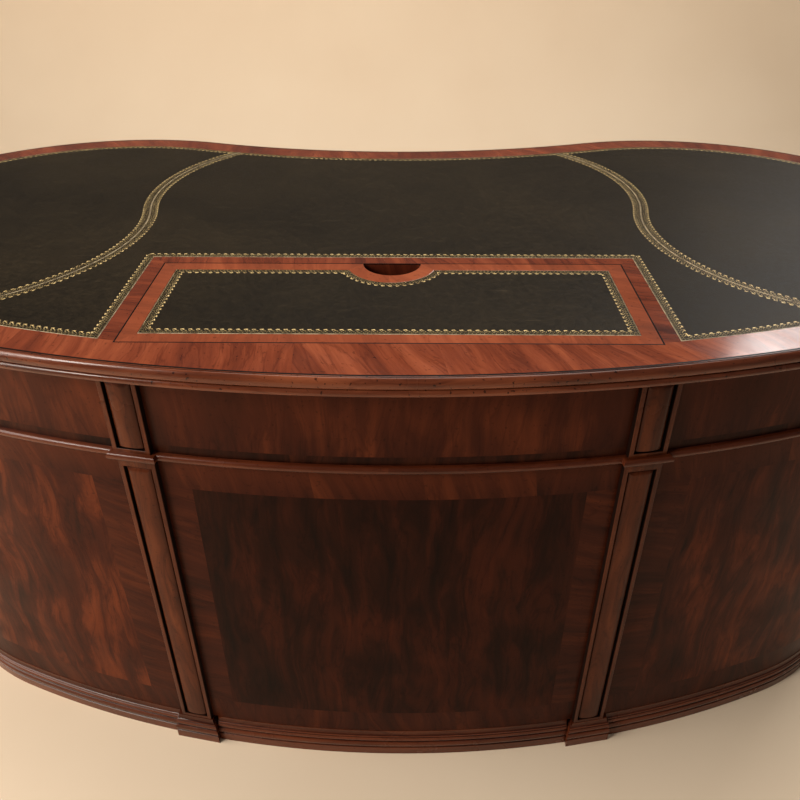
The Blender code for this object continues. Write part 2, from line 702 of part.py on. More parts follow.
def pedestal_ring():
    """The plinth's run round the right pedestal, with its mitred corners at the kneehole."""
    front = [
        Place(front_at, KNEE_X, PILASTER_RISE, -1, 1.0, 1),
        Place(front_at, STILE_X, PILASTER_RISE, 1, 1.0, 1),
        Place(front_at, STILE_X, 0.0, 1, 1.0, 1),
    ]
    back = [
        Place(back_at, STILE_X, 0.0, 1, 1.0, 1),
        Place(back_at, STILE_X, PILASTER_RISE, 1, 1.0, 1),
        Place(back_at, KNEE_X, PILASTER_RISE, -1, 1.0, 1),
    ]
    round_end = along(back_at, DRAWER_EDGE_X, STILE_X, LOBE_END_STEPS)[1:-1]
    return front + front_side + end_round + lobe_break + round_end + back


def make_pedestal(side_name, side):
    """A base moulding that carries a bent shell, a face frame, two side walls and a floor."""
    turned = (lambda places: places) if side > 0 else mirrored
    flat = (lambda points: points) if side > 0 else flipped
    height = (PANEL_FOOT, PANEL_HEAD)
    ring = turned(pedestal_ring())
    moulding(f"pedestal_plinth_{side_name}", ring, PEDESTAL_INSET, plinth_section(), SOLID, closed=True)
    curved_board(f"pedestal_shell_{side_name}", turned(panel_run()), PEDESTAL_INSET, *height, FLAME)

    frame_run = turned(FRAME_RUN + [Place(back_at, KNEE_X, 0.0, 0, 1.0, 1)])
    frame = curved_board(f"pedestal_face_frame_{side_name}", frame_run, PEDESTAL_INSET, *height, SOLID)
    span = sorted((side * STILE_X, side * DRAWER_EDGE_X))
    for name, opening in OPENINGS.items():
        cut(frame, frame_cutter(f"pedestal_{side_name}_{name}", span, opening))

    inner = PEDESTAL_INSET + PANEL_THICKNESS + SEAT
    near, far = sides(inner)
    wall_x = KNEE_X + PANEL_THICKNESS
    reach_x = STILE_X + BOX_SIDE_GAP + RUNNER_REACH
    section = scaled(runner_section(KNEE_X, wall_x, reach_x, PANEL_FOOT), side)
    wall_name = f"pedestal_kneehole_side_{side_name}"
    wall = rail_along_y(wall_name, section, FRONT_Y, meet(far, KNEE_X), FLAME)
    beyond = flat([*near, (near[-1][0], FRONT_Y - OVERRUN), (0.0, FRONT_Y - OVERRUN)])
    cut(wall, outline_cutter(f"{wall_name}_end_cut", beyond, 0.0, FRIEZE_TOP))

    floor = flat(half_outline(inner, wall_x + SEAT, wall_x + SEAT))
    floor_top = PANEL_FOOT + BOARD_THICKNESS
    slab(f"pedestal_bottom_{side_name}", floor, PANEL_FOOT, floor_top, LINING)

    guide_x = DRAWER_EDGE_X + RUNNER_WALL_GAP
    guide_back_x = guide_x + BOARD_THICKNESS
    reach_x = DRAWER_EDGE_X - BOX_SIDE_GAP - RUNNER_REACH
    guide = scaled(runner_section(guide_back_x, guide_x, reach_x, floor_top + SEAT), side)
    guide_near = box_back(DRAWER_EDGE_X, PEDESTAL_INSET) - RUNNER_WALL_MARGIN
    guide_far = meet(far, guide_back_x)
    rail_along_y(f"pedestal_runner_wall_{side_name}", guide, guide_near, guide_far, LINING)


def runner_section(outer_x, face_x, reach_x, foot):
    """A wall in section, with a runner under each drawer standing out from its face."""
    points = [(outer_x, foot), (face_x, foot)]
    for low, _ in (FILE_OPENING, UPPER_OPENING):
        top = low + DRAWER_GAP - SEAT
        bottom = top - RUNNER_HEIGHT
        points += [(face_x, bottom), (reach_x, bottom), (reach_x, top), (face_x, top)]
    return points + [(face_x, PANEL_HEAD), (outer_x, PANEL_HEAD)]


def scaled(points, side):
    return [(side * x, z) for x, z in points]


def make_centre():
    """The panel that closes the kneehole on the visitor's side, and its base moulding."""
    curved_board("modesty_panel", front_run(), PEDESTAL_INSET, PANEL_FOOT, PANEL_HEAD, FLAME)
    half = KNEE_X - PLINTH_OUT - SEAT
    places = [Place(front_at, x, 0.0, 0, 1.0, 1) for x in spaced(-half, half, 2 * BOW_STEPS)]
    moulding("plinth_centre", places, PEDESTAL_INSET, plinth_section(), SOLID)


# The drawers

DRAWER_LENGTH = 0.300
DRAWER_WALL = 0.010
DRAWER_FLOOR = 0.008
BOX_HEAD_GAP = 0.010
FRONT_STEPS = 9


def box_back(outer_x, inset):
    """The far end of a drawer's box, counted from its shorter side."""
    return back_at(outer_x, inset + PANEL_THICKNESS)[1] - DRAWER_LENGTH


def make_drawer(name, span, inset, opening, knobs):
    """A flush front bent along the outline, the box behind it, and its knobs."""
    xs = spaced(span[0] + DRAWER_GAP, span[1] - DRAWER_GAP, FRONT_STEPS)
    low = opening[0] + DRAWER_GAP
    high = opening[1] - DRAWER_GAP
    face = [back_at(x, inset) for x in xs]
    rear = [back_at(x, inset + PANEL_THICKNESS) for x in xs]
    pieces = [slab(f"drawer_front_{name}", face + rear[::-1], low, high, FLAME)]

    margin = DRAWER_GAP + BOX_SIDE_GAP
    box_xs = spaced(span[0] + margin, span[1] - margin, FRONT_STEPS)
    seat_line = [back_at(x, inset + PANEL_THICKNESS + SEAT) for x in box_xs]
    back = box_back(max(abs(span[0]), abs(span[1])), inset)
    outline = [(box_xs[-1], back), (box_xs[0], back)] + seat_line
    rim = high - BOX_HEAD_GAP
    pieces.append(tray(f"drawer_box_{name}", outline, low, rim, DRAWER_WALL, DRAWER_FLOOR, LINING))

    middle = (low + high) / 2
    for knob_name, facet in knobs.items():
        pieces.append(make_knob(f"drawer_knob_{name}{knob_name}", face[facet], face[facet + 1], middle))
    carry(f"drawer_{name}", (sum(span) / 2, face[FRONT_STEPS // 2][1], middle), pieces)


# A turned knob in section, from its nose to its rose: radius and distance from the drawer
KNOB_RADIUS = 0.0135
KNOB_LENGTH = 0.026
KNOB_SHARES = (
    (0.0, 1.0),
    (0.45, 0.97),
    (0.80, 0.88),
    (1.0, 0.72),
    (0.92, 0.58),
    (0.50, 0.46),
    (0.34, 0.34),
    (0.38, 0.20),
    (0.82, 0.12),
    (0.90, 0.05),
    (0.86, 0.0),
    (0.0, 0.0),
)
KNOB_STEPS = 16


def knob_mesh():
    bm = bmesh.new()
    points = [bm.verts.new((r * KNOB_RADIUS, 0, z * KNOB_LENGTH)) for r, z in KNOB_SHARES]
    for before, after in zip(points, points[1:]):
        bm.edges.new((before, after))
    mesh = bpy.data.meshes.new("turned_knob")
    bm.to_mesh(mesh)
    bm.free()
    mesh.materials.append(BRASS)
    return mesh


KNOB_MESH = knob_mesh()


def make_knob(name, left, right, z):
    """The knob's profile, turned round an axis square to one facet of the drawer's front."""
    slope = math.atan2(right[1] - left[1], right[0] - left[0])
    knob = bpy.data.objects.new(name, KNOB_MESH)
    middle = (Vector((*left, z)) + Vector((*right, z))) / 2
    knob.location = middle + Vector((-math.sin(slope), math.cos(slope), 0)) * SEAT
    knob.rotation_euler = (-math.pi / 2, 0, slope)
    parts.objects.link(knob)
    lathe = knob.modifiers.new("lathe", "SCREW")
    lathe.axis = "Z"
    lathe.steps = KNOB_STEPS
    lathe.render_steps = KNOB_STEPS
    lathe.use_merge_vertices = True
    lathe.merge_threshold = 0.00001
    lathe.use_smooth_shade = True
    return knob


def make_drawers():
    centre = (-CENTRE_EDGE_X, CENTRE_EDGE_X)
    pair = {"_left": FRONT_STEPS // 4, "_right": FRONT_STEPS - 1 - FRONT_STEPS // 4}
    make_drawer("frieze_centre", centre, FRIEZE_INSET, FRIEZE_OPENING, pair)
    knob = {"": FRONT_STEPS // 2}
    for side_name, side in SIDE_NAMES.items():
        span = sorted((side * STILE_X, side * DRAWER_EDGE_X))
        make_drawer(f"frieze_{side_name}", span, FRIEZE_INSET, FRIEZE_OPENING, knob)
        for name, opening in OPENINGS.items():
            make_drawer(f"{name}_{side_name}", span, PEDESTAL_INSET, opening, knob)


clear_scene()
make_top()
make_leathers()
make_flap()
make_well()
make_frieze()
make_pilasters()
make_centre()
for name_of_side, sign_of_side in SIDE_NAMES.items():
    make_pedestal(name_of_side, sign_of_side)
make_drawers()
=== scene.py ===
"""The looks of a kidney-shaped mahogany pedestal desk with a leather-lined top.

The desk is put together here from the floor up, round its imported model: base mouldings,
pedestals, frieze, top, flap and drawers, and last the room that it is photographed in.
Lengths are in metres. -Y is the visitor's side, +Y the sitter's side.
"""
import math
from collections import namedtuple

import bmesh
import bpy
from mathutils import Matrix, Vector


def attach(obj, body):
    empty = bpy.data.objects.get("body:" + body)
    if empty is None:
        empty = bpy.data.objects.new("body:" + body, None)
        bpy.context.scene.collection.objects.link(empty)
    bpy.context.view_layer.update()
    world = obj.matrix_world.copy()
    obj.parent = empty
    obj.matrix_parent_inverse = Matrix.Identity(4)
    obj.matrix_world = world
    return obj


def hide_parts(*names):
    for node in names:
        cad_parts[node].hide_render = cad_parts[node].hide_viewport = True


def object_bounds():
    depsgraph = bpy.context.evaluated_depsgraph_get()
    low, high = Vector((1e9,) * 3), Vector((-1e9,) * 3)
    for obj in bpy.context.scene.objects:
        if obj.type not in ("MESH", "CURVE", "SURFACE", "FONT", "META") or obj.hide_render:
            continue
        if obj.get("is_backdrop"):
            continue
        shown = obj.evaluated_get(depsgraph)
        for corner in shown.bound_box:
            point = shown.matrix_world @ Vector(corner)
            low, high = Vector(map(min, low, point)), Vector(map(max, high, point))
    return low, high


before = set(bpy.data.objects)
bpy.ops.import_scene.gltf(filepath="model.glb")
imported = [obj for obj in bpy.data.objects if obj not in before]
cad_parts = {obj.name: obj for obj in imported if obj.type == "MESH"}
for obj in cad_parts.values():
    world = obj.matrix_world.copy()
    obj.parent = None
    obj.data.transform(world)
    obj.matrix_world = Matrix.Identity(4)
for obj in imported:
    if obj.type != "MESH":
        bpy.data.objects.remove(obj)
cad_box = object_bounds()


# The base mouldings
# Solid mahogany, run in lengths with two reeds and a hollow, mitred at the kneehole and round
# the sitter's pilasters, and glued round the foot of each pedestal and of the middle panel.

quarter = math.pi / 2
rim_x, rim_y = 0.9145, 0.4635
lobe_radius = 0.415008
lobe_x, lobe_y = rim_x - lobe_radius, rim_y - lobe_radius
front_y, hollow_y = -rim_y, rim_y - 0.082
bow_rise = lobe_y - front_y
bow_radius = (lobe_x**2 + bow_rise**2 - lobe_radius**2) / (2 * (bow_rise - lobe_radius))
bow_y = front_y + bow_radius
hollow_rise = hollow_y - lobe_y
hollow_radius = (lobe_x**2 + hollow_rise**2 - lobe_radius**2) / (2 * (lobe_radius - hollow_rise))
hollow_centre_y = hollow_y + hollow_radius
bow_turn = math.atan2(lobe_x, bow_y - lobe_y)
hollow_turn = math.atan2(lobe_x, hollow_centre_y - lobe_y)


def on_bow(angle, inset):
    radius = bow_radius - inset
    return radius * math.sin(angle), bow_y - radius * math.cos(angle)


def on_lobe(angle, inset):
    radius = lobe_radius - inset
    return lobe_x + radius * math.sin(angle), lobe_y - radius * math.cos(angle)


def on_hollow(angle, inset):
    radius = hollow_radius + inset
    return radius * math.sin(angle), hollow_centre_y - radius * math.cos(angle)


def front_at(x, inset):
    if abs(x) <= (bow_radius - inset) * math.sin(bow_turn):
        return x, bow_y - math.sqrt((bow_radius - inset) ** 2 - x**2)
    return x, lobe_y - math.sqrt((lobe_radius - inset) ** 2 - (abs(x) - lobe_x) ** 2)


def back_at(x, inset):
    if abs(x) <= (hollow_radius + inset) * math.sin(hollow_turn):
        return x, hollow_centre_y - math.sqrt((hollow_radius + inset) ** 2 - x**2)
    return x, lobe_y + math.sqrt((lobe_radius - inset) ** 2 - (abs(x) - lobe_x) ** 2)


# A place on the outline. Where a moulding breaks forward it rises off the face, and its mitre
# moves each point along as far as it stands out.
Place = namedtuple("Place", "rim at rise mitre radius side", defaults=(0.0, 0, 1.0, 1))


def spot(place, inset, out=0.0):
    x, y = place.rim(place.at + place.mitre * out / place.radius, inset - place.rise - out)
    return place.side * x, y


def along(rim, start, end, steps):
    return [Place(rim, start + (end - start) * i / steps) for i in range(steps + 1)]


def break_round(rim, middle, half, radius, rise, way=1):
    start, end = middle - way * half, middle + way * half
    corners = [(start, 0.0, -way), (start, rise, -way), (end, rise, way), (end, 0.0, way)]
    return [Place(rim, at, up, mitre, radius) for at, up, mitre in corners]


def mirrored(places):
    return [place._replace(side=-place.side) for place in reversed(places)]


def rounded(middle, half, start, end, steps):
    """Points of a round or oval member, from one angle to another."""
    turns = [start + (end - start) * i / steps for i in range(steps + 1)]
    return [(middle[0] + half[0] * math.cos(a), middle[1] + half[1] * math.sin(a)) for a in turns]


def carried(places, inset, section, closed=False, open_section=False, finishes=None):
    """A section of (stand-out, height) points, extruded from place to place. The grain's own
    measure goes with it as a UV map, in metres: u along the run and v across the section."""
    bm = bmesh.new()
    order = bm.verts.layers.int.new("order")
    crest = bm.verts.layers.float.new("crest")
    grain = bm.loops.layers.uv.new("grain")
    count = len(section)
    across = [0.0]
    for before, after in zip(section, section[1:] + section[:1]):
        across.append(across[-1] + math.dist(before, after))
    ring = []
    for i, (out, z) in enumerate(section):
        vert = bm.verts.new((*spot(places[0], inset, out), z))
        vert[order] = i
        before, after = Vector(section[i - 1]), Vector(section[(i + 1) % count])
        legs = Vector((out, z)) - before, after - Vector((out, z))
        # crest: plus where the section turns outward, minus in its hollows; the wood finishes paint a
        # highlight on crests and shade in hollows from it.
        if min(legs[0].length, legs[1].length) > 1e-6 and 0 < i < count - 1:
            vert[crest] = max(-1.0, min(1.0, -legs[0].angle_signed(legs[1]) * 1.2))
        ring.append(vert)
    pairs = list(zip(ring, ring[1:] + ring[:1]))[: count - 1 if open_section else count]
    ring = first = [bm.edges.new(pair) for pair in pairs]
    run = 0.0
    for before, place in zip(places, places[1:] + (places[:1] if closed else [])):
        grown = bmesh.ops.extrude_edge_only(bm, edges=ring)["geom"]
        ring = [e for e in grown if isinstance(e, bmesh.types.BMEdge)]
        new = {v for v in grown if isinstance(v, bmesh.types.BMVert)}
        for vert in new:
            out, z = section[vert[order]]
            vert.co = (*spot(place, inset, out), z)
        step = math.dist(spot(before, inset), spot(place, inset))
        for face in (f for f in grown if isinstance(f, bmesh.types.BMFace)):
            orders = [v[order] for v in face.verts]
            last = {0, count - 1} <= set(orders) and count > 2
            if finishes:
                face.material_index = finishes[max(orders) if last else min(orders)]
            for loop in face.loops:
                i = loop.vert[order]
                v = across[count if last and i == 0 else i]
                loop[grain].uv = (run + (step if loop.vert in new else 0.0), v)
        run += step
    if not closed and not open_section:
        lay_flat(bm, bmesh.ops.holes_fill(bm, edges=first + ring, sides=0)["faces"])
    bmesh.ops.remove_doubles(bm, verts=bm.verts, dist=2e-6)
    return bm


def lay_flat(bm, faces, material=0):
    """Grain for faces that a run doesn't give: along Z on upright ones, along Y on level ones."""
    grain = bm.loops.layers.uv.active
    for face in faces:
        face.material_index = material
        normal = face.normal
        for loop in face.loops:
            x, y, z = loop.vert.co
            if abs(normal.z) > 0.7:
                loop[grain].uv = (x, y)
            else:
                loop[grain].uv = (x * abs(normal.y) + y * abs(normal.x), z)


def raised(bm, parts, height):
    """Gives level faces a thickness, upwards."""
    grown = bmesh.ops.extrude_face_region(bm, geom=parts)["geom"]
    risen = [v for v in grown if isinstance(v, bmesh.types.BMVert)]
    bmesh.ops.translate(bm, vec=(0, 0, height), verts=risen)


def ring_in(bm, faces, width, depth=0.0):
    """Insets some faces as one and gives the ring of faces round them."""
    ring = bmesh.ops.inset_region(
        bm, faces=faces, thickness=width, depth=depth, use_boundary=True, use_even_offset=True
    )
    return ring["faces"]


def cross_grain(bm, faces):
    """Turns the grain of some faces by a quarter."""
    grain = bm.loops.layers.uv.active
    for face in faces:
        for loop in face.loops:
            u, v = loop[grain].uv
            loop[grain].uv = (v, u)


def made(bm, name):
    mesh = bpy.data.meshes.new(name)
    bm.to_mesh(mesh)
    bm.free()
    return mesh


def set_up(bm, name, body, nodes, finishes, edge=0.0, sharp=32, arris=-1):
    """Makes the finished piece, gives its edges their wear-rounding and puts it in the frame."""
    bmesh.ops.recalc_face_normals(bm, faces=bm.faces)
    mesh = made(bm, name)
    mesh.shade_smooth()
    mesh.set_sharp_from_angle(angle=math.radians(sharp))
    for finish in finishes:
        mesh.materials.append(finish)
    piece = bpy.data.objects.new(name, mesh)
    bpy.context.scene.collection.objects.link(piece)
    if edge:
        soft = piece.modifiers.new("softened_edges", "BEVEL")
        soft.width = edge
        soft.segments = 2
        soft.limit_method = "ANGLE"
        soft.angle_limit = math.radians(40)
        soft.use_clamp_overlap = True
        soft.material = arris
        soft.harden_normals = True
    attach(piece, body)
    if nodes:
        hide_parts(*nodes)
    return piece


def seen(red, green, blue):
    """A colour as it is seen, 0 to 255, made linear for a shader."""
    channels = [value / 255 for value in (red, green, blue)]
    return (*[c / 12.92 if c < 0.04045 else ((c + 0.055) / 1.055) ** 2.4 for c in channels], 1.0)


def new_finish(name):
    material = bpy.data.materials.new(name)
    material.use_nodes = True
    tree = material.node_tree
    return material, tree, tree.nodes["Principled BSDF"]


def own_space(tree):
    return tree.nodes.new("ShaderNodeTexCoord").outputs["Object"]


def mapped(tree, source, scale, turn=0.0):
    node = tree.nodes.new("ShaderNodeMapping")
    node.inputs["Scale"].default_value = scale
    node.inputs["Rotation"].default_value = (0.0, 0.0, turn)
    tree.links.new(source, node.inputs["Vector"])
    return node.outputs["Vector"]


def noise(tree, source, scale=1.0, detail=4.0, rough=0.55, warp=0.0):
    node = tree.nodes.new("ShaderNodeTexNoise")
    node.inputs["Scale"].default_value = scale
    node.inputs["Detail"].default_value = detail
    node.inputs["Roughness"].default_value = rough
    node.inputs["Distortion"].default_value = warp
    tree.links.new(source, node.inputs["Vector"])
    return node.outputs["Fac"]


def ramp(tree, source, *stops):
    node = tree.nodes.new("ShaderNodeValToRGB")
    band = node.color_ramp
    while len(band.elements) < len(stops):
        band.elements.new(0.5)
    for element, (at, colour) in zip(band.elements, stops):
        element.position = at
        element.color = colour
    tree.links.new(source, node.inputs["Fac"])
    return node.outputs["Color"]


def spread(tree, source, low, high, to_low=0.0, to_high=1.0):
    node = tree.nodes.new("ShaderNodeMapRange")
    for key, value in zip(("From Min", "From Max", "To Min", "To Max"), (low, high, to_low, to_high)):
        node.inputs[key].default_value = value
    tree.links.new(source, node.inputs["Value"])
    return node.outputs["Result"]


def sum_up(tree, kind, first, second):
    node = tree.nodes.new("ShaderNodeMath")
    node.operation = kind
    for socket, value in zip(node.inputs, (first, second)):
        if isinstance(value, (int, float)):
            socket.default_value = value
        else:
            tree.links.new(value, socket)
    return node.outputs["Value"]


def weighed(tree, first, share, second, other_share):
    shares = sum_up(tree, "MULTIPLY", first, share), sum_up(tree, "MULTIPLY", second, other_share)
    return sum_up(tree, "ADD", *shares)


def moved(tree, source, offset):
    node = tree.nodes.new("ShaderNodeVectorMath")
    node.operation = "ADD"
    tree.links.new(source, node.inputs[0])
    tree.links.new(offset, node.inputs[1])
    return node.outputs[0]


def blended(tree, kind, share, first, second):
    node = tree.nodes.new("ShaderNodeMix")
    node.data_type = "RGBA"
    node.blend_type = kind
    sockets = (node.inputs["Factor"], node.inputs[6], node.inputs[7])
    for socket, value in zip(sockets, (share, first, second)):
        if isinstance(value, (int, float, tuple)):
            socket.default_value = value
        else:
            tree.links.new(value, socket)
    return node.outputs[2]


def roughened(tree, shader, pattern, low, high):
    tree.links.new(spread(tree, pattern, 0.3, 0.7, low, high), shader.inputs["Roughness"])


def bumps(tree, shader, height, distance, strength=1.0):
    node = tree.nodes.new("ShaderNodeBump")
    node.inputs["Distance"].default_value = distance
    node.inputs["Strength"].default_value = strength
    tree.links.new(height, node.inputs["Height"])
    tree.links.new(node.outputs["Normal"], shader.inputs["Normal"])


def mahogany(
    name, dark, mid, light, figure=1.0, flame=0.0, leaf=0.0, slant=0.0, turned=False, solid=False,
    shine=0.3, polish=0.3, knocks=0.35,
):
    """French polished mahogany. The fibre runs along v of the grain map, along u if turned, or
    along Z of the object for a solid one; figure is the strength of its streaks, flame that of a
    crotch's slanting feather, leaf the length of the veneer leaves that it is laid in and slant
    how far these lean. Shine is the roughness of the polish and polish the strength of its
    reflection; knocks is how dark its small dents are."""
    material, tree, shader = new_finish(name)
    dark, mid, light = seen(*dark), seen(*mid), seen(*light)
    if solid:
        turn = tree.nodes.new("ShaderNodeMapping")
        turn.inputs["Rotation"].default_value = (quarter, 0.0, 0.0)
        tree.links.new(own_space(tree), turn.inputs["Vector"])
        source = turn.outputs["Vector"]
    else:
        node = tree.nodes.new("ShaderNodeUVMap")
        node.uv_map = "grain"
        source = node.outputs["UV"]
    if turned:
        source = mapped(tree, source, (1.0, 1.0, 1.0), quarter)
    if leaf:
        split = tree.nodes.new("ShaderNodeSeparateXYZ")
        tree.links.new(source, split.inputs["Vector"])
        leaning = sum_up(tree, "MULTIPLY", split.outputs["Y"], 0.12)
        count = sum_up(tree, "DIVIDE", sum_up(tree, "ADD", split.outputs["X"], leaning), leaf)
        number = sum_up(tree, "FLOOR", count, 0.0)
        tone = tree.nodes.new("ShaderNodeTexWhiteNoise")
        tone.noise_dimensions = "1D"
        tree.links.new(number, tone.inputs["W"])
        leaf_tone = tone.outputs["Value"]
        shift = tree.nodes.new("ShaderNodeVectorMath")
        shift.operation = "SCALE"
        shift.inputs["Scale"].default_value = 7.0
        tree.links.new(tone.outputs["Color"], shift.inputs[0])
        source = moved(tree, source, shift.outputs[0])
        if slant:
            rate = spread(tree, leaf_tone, 0.0, 1.0, 0.2 * slant, slant)
            aside = tree.nodes.new("ShaderNodeCombineXYZ")
            tree.links.new(sum_up(tree, "MULTIPLY", split.outputs["Y"], rate), aside.inputs["X"])
            source = moved(tree, source, aside.outputs["Vector"])
    bend = tree.nodes.new("ShaderNodeTexNoise")
    bend.inputs["Scale"].default_value = 5.0
    bend.inputs["Detail"].default_value = 2.0
    tree.links.new(source, bend.inputs["Vector"])
    swing = tree.nodes.new("ShaderNodeVectorMath")
    swing.operation = "MULTIPLY_ADD"
    tree.links.new(bend.outputs["Color"], swing.inputs[0])
    swing.inputs[1].default_value = (0.05, 0.05, 0.0)
    tree.links.new(source, swing.inputs[2])
    bent = swing.outputs[0]
    streaks = noise(tree, mapped(tree, bent, (70.0, 5.0, 70.0)), detail=5.0, rough=0.6)
    ribbon = noise(tree, mapped(tree, bent, (17.0, 3.0, 17.0)), detail=3.0, warp=0.6)
    tone = weighed(tree, streaks, 0.5, ribbon, 0.5)
    if flame:
        slanting = mapped(tree, bent, (34.0, 6.0, 34.0), math.radians(-38))
        feather = noise(tree, slanting, detail=5.0, rough=0.62, warp=0.8)
        clouds = noise(tree, mapped(tree, bent, (5.5, 3.2, 5.5), math.radians(-25)), detail=3.0, warp=1.2)
        tone = weighed(tree, tone, 1.0 - flame, weighed(tree, feather, 0.55, clouds, 0.45), flame)
    if leaf:
        difference = 0.055 * slant
        tone = sum_up(tree, "ADD", tone, spread(tree, leaf_tone, 0.0, 1.0, -difference, difference))
    half = 0.13 / figure
    body = ramp(tree, spread(tree, tone, 0.5 - half, 0.5 + half), (0.0, dark), (0.5, mid), (1.0, light))
    slanting = mapped(tree, bent, (24.0, 3.5, 24.0), math.radians(-20 * flame))
    rings = noise(tree, slanting, detail=4.0, warp=1.4)
    off_ring = sum_up(tree, "ABSOLUTE", sum_up(tree, "SUBTRACT", rings, 0.5), 0.0)
    veins = spread(tree, off_ring, 0.0, 0.030, 0.5, 0.0)
    body = blended(tree, "MULTIPLY", veins, body, (0.40, 0.28, 0.24, 1.0))
    pores = noise(tree, mapped(tree, bent, (1500.0, 75.0, 1500.0)), detail=2.0)
    open_pores = spread(tree, pores, 0.60, 0.72, 0.0, 0.55)
    body = blended(tree, "MULTIPLY", open_pores, body, (0.45, 0.36, 0.32, 1.0))
    # The crest map paints light and shade by shape, with some real wear and grime: crests are lightened
    # toward a pale tone, partly rubbed polish and partly painted highlight.
    curvature = tree.nodes.new("ShaderNodeAttribute")
    curvature.attribute_name = "crest"
    rubbed_and_highlit = spread(tree, curvature.outputs["Fac"], 0.0, 1.0, 0.0, 0.35)
    body = blended(tree, "MIX", rubbed_and_highlit, body, tuple(min(1.0, c * 1.35) for c in light))
    # Hollows, and the gaps of the pilasters, are darkened almost to black: partly grime, partly painted
    # shade.
    hollow_darkening = spread(tree, curvature.outputs["Fac"], -1.0, 0.0, 0.95, 0.0)
    body = blended(tree, "MULTIPLY", hollow_darkening, body, (0.06, 0.04, 0.035, 1.0))
    spots = noise(tree, mapped(tree, source, (190.0, 190.0, 190.0)), detail=1.0)
    dents = spread(tree, spots, 0.67, 0.72, 0.0, knocks)
    body = blended(tree, "MULTIPLY", dents, body, (0.10, 0.07, 0.06, 1.0))
    tree.links.new(body, shader.inputs["Base Color"])
    smears = noise(tree, mapped(tree, source, (9.0, 9.0, 9.0)), detail=4.0, warp=0.5)
    roughened(tree, shader, smears, shine - 0.05, shine + 0.09)
    shader.inputs["Specular IOR Level"].default_value = polish
    relief = sum_up(tree, "SUBTRACT", streaks, sum_up(tree, "MULTIPLY", pores, 0.5))
    bumps(tree, shader, relief, 0.0002, 0.35)
    return material


desk_height = 0.737
seat = 0.0003
frieze_inset, pedestal_inset = 0.040, 0.044
knee_x, stile_x, pilaster_x, front_pilaster_x = 0.290, 0.346, 0.318, 0.315
half_pilaster, pilaster_rise = 0.025, 0.008
bow_face, lobe_face = bow_radius - frieze_inset, lobe_radius - frieze_inset
bow_pilaster = math.asin(front_pilaster_x / bow_face)
bow_half, lobe_half = half_pilaster / bow_face, half_pilaster / lobe_face
drawer_edge_x = lobe_x + lobe_radius * 0.488
lobe_pilaster = math.pi - math.asin((drawer_edge_x + 0.005 - lobe_x) / lobe_face) - lobe_half
frame_end = lobe_pilaster - lobe_half
hollow_pilaster_end = math.asin((pilaster_x + half_pilaster) / (hollow_radius + frieze_inset))

bow_side = along(on_bow, bow_pilaster + bow_half, bow_turn, 14)[1:]
lobe_side = along(on_lobe, bow_turn, frame_end, 60)[1:-1]
lobe_break = break_round(on_lobe, lobe_pilaster, lobe_half, lobe_face, pilaster_rise)
back_side = along(on_lobe, lobe_pilaster + lobe_half, math.pi + hollow_turn, 16)[1:]
back_side += along(on_hollow, hollow_turn, hollow_pilaster_end, 14)[1:-1]

plinth_height, plinth_out, plinth_ground = 0.050, 0.008, 0.024
plinth_section = [(-plinth_ground, plinth_height), (-plinth_ground, 0.0), (0.0072, 0.0), (0.0072, 0.0150)]
plinth_section += [(0.0058, 0.0158), (0.0056, 0.0172)]
plinth_section += rounded((0.0042, 0.0230), (0.0038, 0.0056), -quarter, quarter, 6)
plinth_section += [(0.0036, 0.0296)]
plinth_section += rounded((0.0036, 0.0342), (0.0027, 0.0040), -quarter, quarter, 5)
plinth_section += [(0.0034, 0.0390), (0.0046, 0.0398), (0.0046, 0.0406)]
plinth_section += rounded((0.0044, plinth_height), (0.0038, 0.0088), -quarter, -math.pi, 5)

moulding_wood = mahogany(
    "moulding_mahogany", (40, 15, 8), (76, 33, 17), (104, 51, 28), figure=0.8, turned=True, shine=0.22
)
pedestal_round = [
    Place(front_at, knee_x, pilaster_rise, -1),
    Place(front_at, stile_x, pilaster_rise, 1),
    Place(front_at, stile_x, 0.0, 1),
    *bow_side,
    *lobe_side,
    *lobe_break,
    *back_side,
    Place(back_at, stile_x, 0.0, 1),
    Place(back_at, stile_x, pilaster_rise, 1),
    Place(back_at, knee_x, pilaster_rise, -1),
]
for side, turned_run in (("right", pedestal_round), ("left", mirrored(pedestal_round))):
    bm = carried(turned_run, pedestal_inset, plinth_section, closed=True)
    set_up(bm, f"base_moulding_{side}", "carcass", [f"pedestal_plinth_{side}"], [moulding_wood])

half = knee_x - plinth_out - seat
bm = carried(along(front_at, -half, half, 24), pedestal_inset, plinth_section)
set_up(bm, "base_moulding_middle", "carcass", ["plinth_centre"], [moulding_wood])


# The pedestals and the panel between them
# Bent boards veneered with mahogany crotch: a figured field with a band laid across the grain
# round it. The walls and floors inside are plain boards, glued and screwed.

edging_height, frieze_height = 0.024, 0.135
frieze_top = desk_height - edging_height
frieze_foot = frieze_top - frieze_height
panel_foot, panel_head = plinth_height + seat, frieze_foot - seat
panel_thickness, band_width, end_band_width = 0.018, 0.046, 0.050
soft_arris = 0.0006

flame_veneer = mahogany(
    "flame_veneer", (32, 9, 4), (66, 25, 11), (108, 49, 23), flame=0.85, shine=0.36, polish=0.08
)
dark_field_veneer = mahogany(
    "dark_field_veneer", (20, 6, 3), (40, 14, 6), (66, 26, 12), flame=0.9, shine=0.36, polish=0.07
)
band_veneer = mahogany(
    "panel_band_veneer", (32, 11, 5), (60, 23, 11), (90, 41, 20), figure=0.6, leaf=0.14, slant=0.4,
    shine=0.36, polish=0.08,
)


